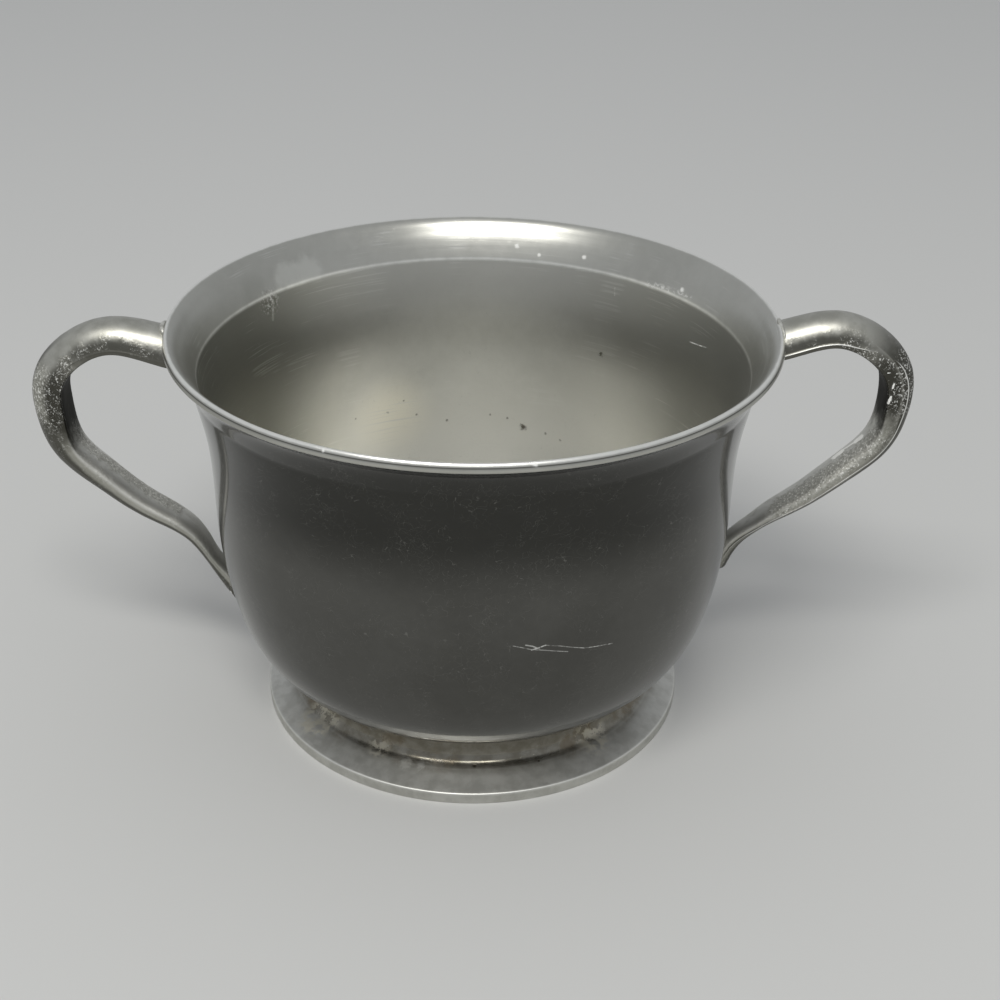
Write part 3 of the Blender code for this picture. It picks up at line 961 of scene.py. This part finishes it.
def read_mark(mesh, label, size=1):
    """The values of one mark on the points of a mesh."""
    values = np.empty(len(mesh.vertices) * size)
    mesh.attributes[label].data.foreach_get("vector" if size == 3 else "value", values)
    return values.reshape(-1, size)


def rim_path(stations, points_round=108, lift=0.00002):
    """Where the surface of a handle leaves the cup's wall at the root, all round the handle."""
    spine, out = vertices_of(stations), read_mark(stations, "out", 3)
    width, thick, ledge = [read_mark(stations, label)[:, 0] for label in ("width", "thick", "ledge")]
    path = []
    for turn in np.linspace(0.0, math.tau, points_round, endpoint=False):
        power = INNER_POWER if turn > math.pi else 2.0
        norm = (abs(math.cos(turn)) ** power + abs(math.sin(turn)) ** power) ** (1 / power)
        across, rise = math.cos(turn) / norm, math.sin(turn) / norm
        reach = thick / 2 + ledge * (1 if rise < 0 else -1)
        line = spine + out * (ledge + rise * reach)[:, None]
        line[:, 1] += across * width / 2
        off, _ = nearest_face(line[1:STATIONS // 3])
        leaves = int(np.argmax(off > lift))
        share = (lift - off[leaves - 1]) / (off[leaves] - off[leaves - 1])
        path.append(line[leaves] * (1 - share) + line[leaves + 1] * share)
    return np.array(path)


def bed_path(stations, side):
    """A loop on the belly round the bed of a handle's tail."""
    spine = vertices_of(stations)
    width = read_mark(stations, "width")[:, 0]
    run = run_lengths(spine)
    rows = np.flatnonzero((run[-1] - run < TAIL_LANDING + 0.0016) & (width > 0.0006))
    _, nearest = nearest_face(spine[rows])
    radius, height = face_points[nearest].T
    turn = BED_SHARE * width[rows] / radius
    edges = [np.stack([side * radius * np.cos(turn), edge * radius * np.sin(turn), height], axis=-1)
             for edge in (-1, 1)]
    return np.vstack([edges[0], edges[1][::-1]])


joints = (
    ("bead_left_rim", "solder_left_rim", rim_path(left_stations, lift=0.0004), 0.00045, 11),
    ("bead_right_rim", "solder_right_rim", rim_path(right_stations), 0.00030, 12),
    ("bead_left_tail", "solder_left_tail", bed_path(left_stations, -1), 0.00022, 13),
    ("bead_right_tail", "solder_right_tail", bed_path(right_stations, 1), 0.00020, 14),
)
for name, node, path, radius, seed in joints:
    line = marked_line(name, path, {}, closed=True)
    piece = built(name, line, bead, {"Radius": radius, "Seed": seed, "Material": finishes["tin_solder"]})
    press_out(piece, BEAD_SUNK)
    belongs(piece, "solder", node)

# %% [markdown]
# ## Finishes
# Every finish here starts from the same place: Object coordinates in millimetres, so one unit of a
# pattern is one millimetre on the metal. The direction round the axis, as a point on a unit circle,
# gives patterns that run round the cup without a seam. Metal is all reflection, so the finish lives in
# how rough it is and in very small bumps as much as in its colour.

# %% A finish and its common parts
class Finish(Bench):
    """The node tree of one metal finish."""

    def __init__(self, material):
        material.use_nodes = True
        super().__init__(material.node_tree)
        self.name = material.name
        self.shader = material.node_tree.nodes["Principled BSDF"]
        place = self.add("ShaderNodeTexCoord", None, None, "Object")
        self.place = self.scaled(place, 1000.0)
        self.x, self.y, self.z = self.parts(self.place)
        flat = self.vector(self.x, self.y, 0.0)
        self.radius = self.along("LENGTH", flat, out="Value")
        self.round = self.along("NORMALIZE", flat)
        self.torn = self.cloud(21, 2.2, 3.0, 0.7)

    def mark(self, label):
        return self.add("ShaderNodeAttribute", {"attribute_name": label}, None, "Fac")

    def shifted(self, seed, stretch=(1.0, 1.0, 1.0)):
        """The place in mm, stretched and moved, so that patterns with other seeds differ."""
        moved = self.along("ADD", self.place, (seed * 17.3, seed * 5.9, seed * 11.1))
        return self.along("MULTIPLY", moved, stretch)

    def turned(self, along, fine, coarse, seed):
        """Coordinates for marks that run round the axis: fine along the outline, long round it."""
        ring = self.scaled(self.round, coarse)
        rx, ry, _ = self.parts(ring)
        return self.vector(rx + seed * 3.1, ry, along * fine)

    def cloud(self, seed, scale, detail=2.0, roughness=0.5):
        """A noise over the metal, its own for each seed."""
        return self.noise(self.shifted(seed), scale, detail, roughness)

    def hairlines(self, seed, angle, size, thin, cover):
        """Fine scratches in one direction: the level lines of a long drawn noise, broken up by another."""
        lain = self.add("ShaderNodeMapping", None, {
            "Vector": self.shifted(seed), "Rotation": angle, "Scale": (1.0 / size, 0.035 / size, 1.0 / size),
        })
        field = self.noise(lain, 1.0, 1.0, 0.5, 0.4)
        line = self.ease(abs(field - 0.5), 0.0, thin, 1.0, 0.0)
        return line * self.ease(self.cloud(seed + 3, 0.16), cover, cover + 0.12)

    def spot(self, centre, size, edge=0.6, ragged=0.0):
        """A soft patch at a place in mm, round or with a ragged outline."""
        away = self.along("DISTANCE", self.place, centre, out="Value")
        if ragged:
            away = away + (self.torn - 0.5) * (ragged * size)
        return self.ease(away, size * (1 - edge), size, 1.0, 0.0)

    def patches(self, make, rows):
        """The strongest of several spots or strokes, each made from its own row of values."""
        return self.most(*[make(*row) for row in rows])

    def strokes(self, places, width):
        """A soft thin line along several places in mm."""
        return self.patches(self.stroke, [(a, b, width) for a, b in zip(places, places[1:])])

    def layered(self, colour, *layers):
        """The colour with each layer laid over it: a mask and the colour that it brings."""
        for mask, laid in layers:
            colour = self.colour(mask, colour, laid)
        return colour

    def stroke(self, start, end, width):
        """A soft thin line between two places in mm."""
        start, end = np.array(start, float), np.array(end, float)
        span = end - start
        from_start = self.along("SUBTRACT", self.place, tuple(start))
        share = self.along("DOT_PRODUCT", from_start, tuple(span / span.dot(span)), out="Value")
        share = share.maths("MAXIMUM", 0.0).maths("MINIMUM", 1.0)
        nearest = self.scaled(self.vector(*map(float, span)), share)
        away = self.along("DISTANCE", from_start, nearest, out="Value")
        return self.ease(away, 0.2 * width, width, 1.0, 0.0)

    def finish(self, colour, roughness, height, distance, scattering=None):
        """Joins colour, roughness and a height in units of the distance to the shader.

        A fresh scratch or a torn grain throws light every way, so it mirrors less and looks bright from
        any side: that is what scattering stands for.
        """
        bump = self.add("ShaderNodeBump", None, {"Distance": distance, "Height": height})
        joined = {"Base Color": colour, "Roughness": roughness, "Normal": bump}
        if scattering:
            joined["Metallic"] = 1.0 - scattering * 0.85
        else:
            self.shader.inputs["Metallic"].default_value = 1.0
        for label, value in joined.items():
            self.tree.links.new(value.socket, self.shader.inputs[label])
        print(self.name, len(self.tree.nodes), "nodes")


SPUN_BUMP = 0.000006
CAST_BUMP = 0.00003
print("finish bench ready, bumps up to", 1000 * CAST_BUMP, "mm")


# %% Wear and marks that the real cup carries
DARK_PITS = (((8.3, 35.1, 25.9), 0.75), ((20.5, 30.6, 41.4), 0.55), ((2.7, 36.2, 27.6), 0.3),
             ((12.0, 33.9, 25.2), 0.32), ((14.5, 32.8, 24.6), 0.28), ((5.6, 35.8, 27.2), 0.25),
             ((-19.6, 30.8, 29.4), 0.30), ((-15.6, 33.3, 31.2), 0.26), ((-14.4, 33.6, 29.3), 0.30),
             ((-11.7, 34.6, 30.9), 0.24), ((-9.6, 34.9, 28.2), 0.30), ((-4.6, 35.9, 26.6), 0.34),
             ((5.8, 36.4, 33.2), 0.26), ((21.4, 28.6, 25.3), 0.26))
BRIGHT_SPECKS = (((6.8, 39.3, 56.5), 0.5), ((10.4, 38.0, 55.5), 0.4), ((17.5, 35.6, 56.1), 0.5),
                 ((31.9, 23.2, 55.6), 0.6), ((7.2, -42.4, 60.1), 0.5), ((-18.0, -38.9, 59.9), 0.35))
UPPER_SCRATCH = ((9.4, -36.3, 30.2), (11.3, -35.7, 29.7), (12.9, -35.1, 29.1), (14.6, -34.4, 28.5),
                 (15.8, -33.9, 28.3), (17.3, -33.1, 28.1), (18.5, -32.4, 27.9))
LOWER_SCRATCH = ((5.0, -37.2, 30.7), (6.2, -37.0, 30.3), (7.5, -36.7, 29.8), (9.3, -36.3, 29.4),
                 (12.4, -35.3, 28.5))
CROSS_SCRATCH = ((7.6, -36.7, 29.7), (9.4, -36.3, 30.2))
SMALL_SCRATCH = ((6.8, -36.9, 30.6), (7.7, -36.7, 30.3), (8.6, -36.5, 29.7))
CREASE_WEAR = ((27.1, 28.3, 54.6), (28.9, 26.6, 54.7), (30.5, 24.8, 54.8), (32.2, 22.9, 54.9),
               (33.2, 21.5, 55.0))
PALE_STREAK = ((22.3, 31.4, 52.6), (22.3, 31.1, 51.4))
PALE_MARK = ((-31.0, 23.2, 53.5), (-31.1, 22.1, 50.7))
LIGHT_SCRATCH = ((33.0, 18.3, 49.1), (34.0, 16.5, 49.4), (35.0, 14.6, 49.8))
print("marks on the cup:", len(DARK_PITS), "pits and", len(BRIGHT_SPECKS), "bright specks")


# %% Polished outside, satin inside
def finish_cup(material):
    """Spun pewter, polished outside, satin with turning marks inside, painted dark outside and pale inside as
    painted light and shade.
    """
    f = Finish(material)
    inside, flare, worn, run = map(f.mark, ("inside", "zone", "worn", "run"))
    # A warm painted highlight on the lower back wall inside, where cloth lines also run.
    painted_highlights = f.spot((-13.6, 33.9, 28.8), 9.0, 0.9) * inside
    mottle = f.cloud(2, 0.55, 4.0, 0.6)
    tone = f.ease(f.cloud(1, 0.045) * 0.75 + mottle * 0.25, 0.34, 0.66)
    # Painted reflection and shade: the outside is painted far darker than the same metal inside, as a painted
    # dark reflection, and darker still towards the lip.
    outer = f.layered(
        f.colour(tone, (0.098, 0.097, 0.09), (0.12, 0.119, 0.111)),
        (f.ease(f.z, 36.0, 47.0) * 0.75, (0.035, 0.035, 0.032)),
    )
    # Painted light and shade inside: the inside and the flare's curl are painted paler than the outside,
    # darker near the lip, paler lower down and darker towards the left and the right.
    sideways = f.x / f.radius * f.ease(f.z, 12.0, 22.0)
    inner = f.layered(
        f.colour(tone, (0.6, 0.598, 0.56), (0.68, 0.678, 0.64)),
        (f.ease(f.z, 44.0, 52.0) * 0.6, (0.47, 0.47, 0.44)),
        (f.ease(f.z, 36.0, 23.0), (0.86, 0.852, 0.8)),
        (f.ease(sideways, 0.32, 0.92) * 0.65, (0.3, 0.3, 0.275)),
        (f.ease(sideways, -0.4, -0.92) * 0.88, (0.24, 0.24, 0.21)),
        (painted_highlights * 0.7, (0.96, 0.925, 0.8)),
    )
    curl = f.colour(tone, (0.45, 0.448, 0.412), (0.52, 0.518, 0.48))
    colour = f.colour(inside, outer, f.colour(flare, inner, curl))
    rings = f.noise(f.turned(run, 1.6, 1.0, 1), 1.0, 3.0, 0.6)
    fine_rings = f.noise(f.turned(run, 7.0, 2.0, 2), 1.0, 2.0, 0.6)
    cloth_places = f.most(f.ease(f.cloud(13, 0.12), 0.5, 0.64) * 0.6, painted_highlights)
    cloth_lines = f.ease(f.noise(f.turned(run, 3.4, 3.0, 5), 1.0, 2.0, 0.6), 0.56, 0.66)
    cloth_lines = cloth_lines * inside * cloth_places
    scratches = f.patches(f.hairlines, (
        (4, (0.3, 0.9, 0.2), 1.1, 0.006, 0.48),
        (7, (1.2, 0.1, 0.9), 1.6, 0.005, 0.48),
        (9, (0.2, 1.9, 1.4), 1.3, 0.005, 0.5),
    ))
    deep = f.most(
        f.strokes(UPPER_SCRATCH, 0.11) * f.ease(f.x, 8.5, 13.5, 0.25, 0.7),
        f.strokes(LOWER_SCRATCH, 0.10) * 0.5, f.strokes(CROSS_SCRATCH, 0.15) * 0.8,
        f.strokes(SMALL_SCRATCH, 0.15) * 0.6,
        f.strokes(LIGHT_SCRATCH, 0.13), f.strokes(PALE_STREAK, 0.14) * 0.6,
    )
    broken = f.cloud(12, 1.4, 3.0, 0.7)
    deep = deep * f.ease(broken, 0.34, 0.58)
    pits = f.most(*[f.spot(centre, size, 0.8, 2.4) * (0.5 + size * 0.6) for centre, size in DARK_PITS])
    specks = f.patches(f.spot, [(centre, size, 0.8, 1.0) for centre, size in BRIGHT_SPECKS])
    specks = f.most(specks, f.strokes(CREASE_WEAR, 0.75) * f.ease(broken, 0.47, 0.6) * 0.8) * inside
    torn = (mottle - 0.5) * 1.2
    pale = f.ease(f.stroke((-29.2, 26.6, 55.9), (-25.8, 29.8, 55.9), 3.6) + torn, 0.15, 1.0) * flare
    pale = f.most(pale, f.strokes(PALE_MARK, 0.35) * inside)
    # A duller finish, and a painted shadow and painted shade that darken the left of the flare.
    dull_and_shaded = f.most(f.spot((-33.6, 21.0, 56.0), 5.6, 0.8), f.ease(f.x, -16.0, -38.0) * 0.6) * flare
    stain = f.spot((-31.5, 22.5, 53.4), 2.8, 0.8)
    stain_grain = f.cloud(11, 2.6, 3.0)
    specks = f.most(specks, stain * f.ease(stain_grain, 0.56, 0.64) * 0.7)
    stain = stain * f.ease(stain_grain, 0.48, 0.4)
    colour = f.layered(
        colour,
        (dull_and_shaded * 0.35, (0.26, 0.26, 0.23)),
        (pale * 0.45, (0.72, 0.72, 0.67)),
        (scratches * 0.2, (0.45, 0.45, 0.42)),
        (cloth_lines * 0.5, (0.75, 0.75, 0.72)),
        (f.most(pits * 0.95, stain * 0.4), (0.07, 0.058, 0.036)),
        # A painted dark reflection line round the lip's nose.
        (f.ease(worn, -0.2, -0.7), (0.1, 0.098, 0.085)),
        (f.ease(worn * (mottle * 0.8 + 0.6), 0.1, 0.8), (0.8, 0.8, 0.76)),
        (f.most(specks, deep) * 0.9, (0.85, 0.85, 0.82)),
    )
    satin = inside * (0.24 - flare * 0.09 + rings * 0.1 + dull_and_shaded * 0.08)
    roughness = satin + 0.085 + mottle * 0.03 + scratches * 0.1 + deep * 0.25 + specks * 0.15
    height = (rings * 0.9 + fine_rings * 0.5) * (inside * 0.9 + 0.05) - scratches * 0.4 - pits * 3.0 - deep
    height = height - cloth_lines * 0.6
    f.finish(colour, roughness, height, SPUN_BUMP, f.most(specks, deep, worn * 0.4 * mottle))


finish_cup(finishes["spun_pewter_cup"])


# %% The foot's finish
FOOT_PALE = (((-22.5, -16.0, 3.6), 4.2, 0.4), ((-13.5, -23.4, 3.8), 2.4, 0.8), ((17.5, -21.0, 4.0), 3.6, 0.6))
FOOT_PITS = (((0.3, -27.4, 3.4), 0.35), ((18.6, -20.0, 4.6), 0.35), ((9.5, -26.0, 3.2), 0.22))
# Painted highlights: pale spots on the front of the foot's shoulder.
FOOT_PAINTED_HIGHLIGHTS = (((-9.6, -26.4, 3.1), 1.4, 0.9, 2.0), ((-7.4, -26.9, 3.1), 1.0, 0.9, 2.0))


def finish_foot(material):
    """Spun pewter with tarnish held in the neck, a satin flange, a bright worn edge and painted highlights on
    the shoulder.
    """
    f = Finish(material)
    stained, worn, run, hollow = map(f.mark, ("zone", "worn", "run", "inside"))
    stained = f.most(stained, hollow)
    mottle = f.cloud(2, 0.5, 4.0, 0.6)
    tone = f.ease(mottle, 0.36, 0.64)
    neck = f.colour(tone, (0.17, 0.158, 0.128), (0.235, 0.224, 0.192))
    flange = f.colour(tone, (0.5, 0.498, 0.465), (0.59, 0.588, 0.555))
    tarnish_and_shade = f.ease(f.cloud(8, 0.16, 4.0, 0.6), 0.5, 0.62) * (stained * 0.8 + 0.1)
    pale = f.patches(f.spot, FOOT_PALE) * f.ease(f.cloud(9, 0.7, 4.0, 0.65), 0.44, 0.56)
    pits = f.patches(f.spot, FOOT_PITS)
    painted_highlights = f.patches(f.spot, FOOT_PAINTED_HIGHLIGHTS) * 0.5
    rings = f.noise(f.turned(run, 2.2, 1.0, 1), 1.0, 3.0, 0.6)
    scratches = f.hairlines(4, (0.3, 0.9, 0.2), 0.9, 0.007, 0.47)
    colour = f.layered(
        f.colour(stained, flange, neck),
        (tarnish_and_shade * 0.55, (0.15, 0.118, 0.075)),
        (pale * 0.55, (0.56, 0.53, 0.43)),
        (pits * 0.9, (0.05, 0.04, 0.028)),
        (f.most(worn * (mottle * 0.8 + 0.5), painted_highlights), (0.7, 0.7, 0.66)),
        (scratches * 0.35, (0.55, 0.55, 0.52)),
    )
    glossy = f.most(f.ease(f.radius, 28.2, 27.0), hollow)
    roughness = 0.42 - glossy * 0.26 + mottle * 0.08 + tarnish_and_shade * 0.1 + pale * 0.15
    f.finish(colour, roughness, rings * 0.8 - scratches * 0.4 - pits * 2.0 + pale * 0.8, SPUN_BUMP)


finish_foot(finishes["spun_pewter_foot"])


# %% The castings' marks
LEFT_ROUGH = (((-61.6, -1.8, 51.0), (-60.6, -2.7, 46.8), 4.4), ((-57.4, 0.4, 43.0), (-45.0, 1.0, 29.8), 2.8),
              ((-57.0, -3.4, 54.9), (-59.0, -3.3, 50.5), 1.6))
RIGHT_ROUGH = (((61.5, -1.5, 55.5), (61.5, -2.8, 49.0), 3.4), ((57.6, -2.0, 43.0), (45.5, -1.2, 31.5), 3.0),
               ((52.0, -3.6, 58.2), (58.5, -3.4, 55.2), 1.3))
# Painted highlights: bright spots and strokes on worn places of the handles, painted near white.
LEFT_PAINTED_SHINE = (((-37.0, -0.9, 15.6), (-37.0, -0.7, 15.2), 0.35),
              ((-56.5, -3.4, 55.9), (-53.0, -3.5, 57.7), 0.22))
RIGHT_PAINTED_SHINE = (((53.3, 1.0, 38.2), (54.2, 1.0, 39.1), 0.9), ((56.2, 0.7, 41.2), (56.7, 0.5, 41.8), 0.9),
               ((58.2, -3.2, 54.0), (60.6, -2.4, 54.0), 0.16), ((59.3, -3.1, 52.2), (59.2, -3.1, 51.6), 0.22),
               ((59.1, -3.0, 50.2), (58.9, -3.0, 49.2), 0.30),
               ((54.4, 1.2, 39.5), (56.4, 0.6, 41.6), 0.3))
print("rough places on the handles:", len(LEFT_ROUGH) + len(RIGHT_ROUGH))


# %% The castings' finish
def finish_casting(material, seed, rough_places, painted_shine_places, under_dark, strip_from):
    """Cast pewter: worn smooth on the bow, silvery grain where it was left rough, with painted light and
    shade.

    Painted shade under the bend is as strong as under_dark, and a painted dark strip of shade on the outer
    side of the lower run starts at strip_from, where -1 is the inner side and 1 the outer one.
    """
    f = Finish(material)
    along, around, seam = map(f.mark, ("along", "around", "seam"))
    mottle = f.cloud(seed, 0.45, 4.0, 0.6)
    uneven = along + (mottle - 0.5) * 0.08
    top, low = f.ease(uneven, 0.34, 0.24), f.ease(uneven, 0.44, 0.52)
    bend = (1.0 - top) * (1.0 - low)
    turn = around + (mottle - 0.5) * 0.3
    # Painted shade: darker under the top run, on the flank round the bend, under the bend and in a strip
    # along the outer side of the lower run.
    tarnish_and_shade = f.most(
        top * f.ease(turn, 0.64, 0.30) * 0.78,
        bend * f.ease(turn, 0.65, 0.30) * 0.95,
        f.ease(uneven, 0.39, 0.46) * f.ease(turn, 0.02, 0.32) * under_dark,
        (1.0 - top) * f.ease(around, strip_from, strip_from + 0.10) * 0.9,
    )
    # A near-black painted shade on the inner side of the bend, between the handle and the cup.
    painted_inner_shade = bend * f.ease(around, -0.74, -0.90)
    # Painted light: the upward-facing inner side of the lower run is painted much paler.
    facing_up_painted_light = low * f.ease(turn, -0.05, -0.55)
    rough = f.patches(f.stroke, rough_places)
    torn = f.cloud(seed + 2, 0.9, 3.0, 0.6)
    rough = f.ease(rough * 0.55 + torn * 1.1, 0.62, 0.98) * f.ease(rough, 0.0, 0.3)
    faint = f.cloud(seed + 6, 0.4, 3.0, 0.6)
    flank_of_top = top * f.ease(turn, 0.75, 0.50) * f.ease(turn, 0.0, 0.2) * 0.6
    faint = f.ease(faint, 0.46, 0.62) * f.most(f.ease(along, 0.24, 0.40) * 0.35, flank_of_top)
    rough = f.most(rough, faint) * (1.0 - painted_inner_shade)
    grain = f.cloud(seed + 4, 2.9, 3.0, 0.65)
    finer = f.cloud(seed + 7, 6.0, 2.0, 0.6)
    # Painted glints: near-white specks where the grain is rough, on the metal's own silvery grain.
    glints = f.ease(grain * 0.65 + finer * 0.35, 0.53, 0.61) * rough
    # A painted highlight: a near-white line along the mould's ridge.
    line = f.ease(seam, 0.42, 0.85)
    # Painted highlights on worn places, broken up by the grain.
    painted_shine = f.ease(f.patches(f.stroke, painted_shine_places) + (grain - 0.5) * 1.6, 0.3, 0.6)
    dimples = f.ease(grain, 0.46, 0.38) * rough * (1.0 - facing_up_painted_light * 0.45)
    colour = f.layered(
        f.colour(f.ease(mottle, 0.35, 0.65), (0.39, 0.385, 0.342), (0.48, 0.475, 0.43)),
        (facing_up_painted_light * (0.85 - rough * 0.45), (0.8, 0.795, 0.75)),
        (tarnish_and_shade, (0.055, 0.053, 0.043)),
        (painted_inner_shade * 0.9, (0.022, 0.021, 0.016)),
        (dimples * 0.5, (0.1, 0.098, 0.08)),
        (f.most(glints * 0.8, line * 0.85, painted_shine), (0.94, 0.94, 0.9)),
    )
    roughness = 0.36 + rough * 0.14 + facing_up_painted_light * 0.14 + mottle * 0.08 + painted_inner_shade * 0.25
    height = (grain * 3.0 + f.cloud(seed + 5, 8.0)) * (rough * 0.95 + 0.03)
    f.finish(colour, roughness, height, CAST_BUMP, f.most(glints * 0.7, painted_shine, line * 0.4))


finish_casting(finishes["cast_pewter_left"], 3, LEFT_ROUGH, LEFT_PAINTED_SHINE, 0.85, 0.90)
finish_casting(finishes["cast_pewter_right"], 12, RIGHT_ROUGH, RIGHT_PAINTED_SHINE, 0.50, 0.42)


# %% The solder's finish
def finish_solder(material):
    """Tin solder: pale, dull and a little lumpy."""
    f = Finish(material)
    mottle = f.cloud(3, 1.3, 4.0, 0.6)
    colour = f.colour(f.ease(mottle, 0.35, 0.65), (0.5, 0.495, 0.45), (0.68, 0.675, 0.63))
    f.finish(colour, mottle * 0.12 + 0.44, f.cloud(4, 2.6, 3.0) * 1.5, CAST_BUMP)


finish_solder(finishes["tin_solder"])

# %% [markdown]
# ## Floor and light
# A plain pale floor and one long soft lamp, high up in front and a little to the left. Its place follows
# from the brightest line in the photograph, on the back of the lip: the slope of the flare there sends
# the line of sight up to the lamp. An even sky fills the rest.

# %% Floor
FLOOR_COLOUR = (0.60, 0.60, 0.585, 1.0)


def make_floor():
    """A wide flat floor under the foot."""
    mesh = bpy.data.meshes.new("floor")
    corners = [(-4, -4, 0), (4, -4, 0), (4, 4, 0), (-4, 4, 0)]
    mesh.from_pydata(corners, [], [(0, 1, 2, 3)])
    floor = bpy.data.objects.new("floor", mesh)
    bpy.context.scene.collection.objects.link(floor)
    material = bpy.data.materials.new("pale_floor")
    material.use_nodes = True
    shader = material.node_tree.nodes["Principled BSDF"]
    shader.inputs["Base Color"].default_value = FLOOR_COLOUR
    shader.inputs["Roughness"].default_value = 0.85
    shader.inputs["Specular IOR Level"].default_value = 0.2
    mesh.materials.append(material)
    return floor


print("laid:", make_floor().name)


# %% Lamps and world
LAMP_PLACE = (-0.093, -0.437, 0.713)
LAMP_SIZE = (0.52, 0.18)
LAMP_WATTS = 3.6
LAMP_COLOUR = (1.0, 0.99, 0.96)
SKY_COLOUR = (0.80, 0.82, 0.85, 1.0)
SKY_STRENGTH = 0.62


def soft_lamp(name, place, target, size, watts, tint):
    """A rectangular area lamp that faces a target."""
    data = bpy.data.lights.new(name, "AREA")
    data.shape = "RECTANGLE"
    data.size, data.size_y = size
    data.energy = watts
    data.color = tint
    lamp = bpy.data.objects.new(name, data)
    bpy.context.scene.collection.objects.link(lamp)
    lamp.location = place
    lamp.rotation_euler = (Vector(target) - Vector(place)).to_track_quat("-Z", "Y").to_euler()
    return lamp


soft_lamp("long_lamp", LAMP_PLACE, (0.0, 0.0, 0.05), LAMP_SIZE, LAMP_WATTS, LAMP_COLOUR)
world = bpy.data.worlds.new("studio")
bpy.context.scene.world = world
world.use_nodes = True
sky = world.node_tree.nodes["Background"]
sky.inputs["Color"].default_value = SKY_COLOUR
sky.inputs["Strength"].default_value = SKY_STRENGTH
bpy.context.scene.view_settings.view_transform = "Standard"
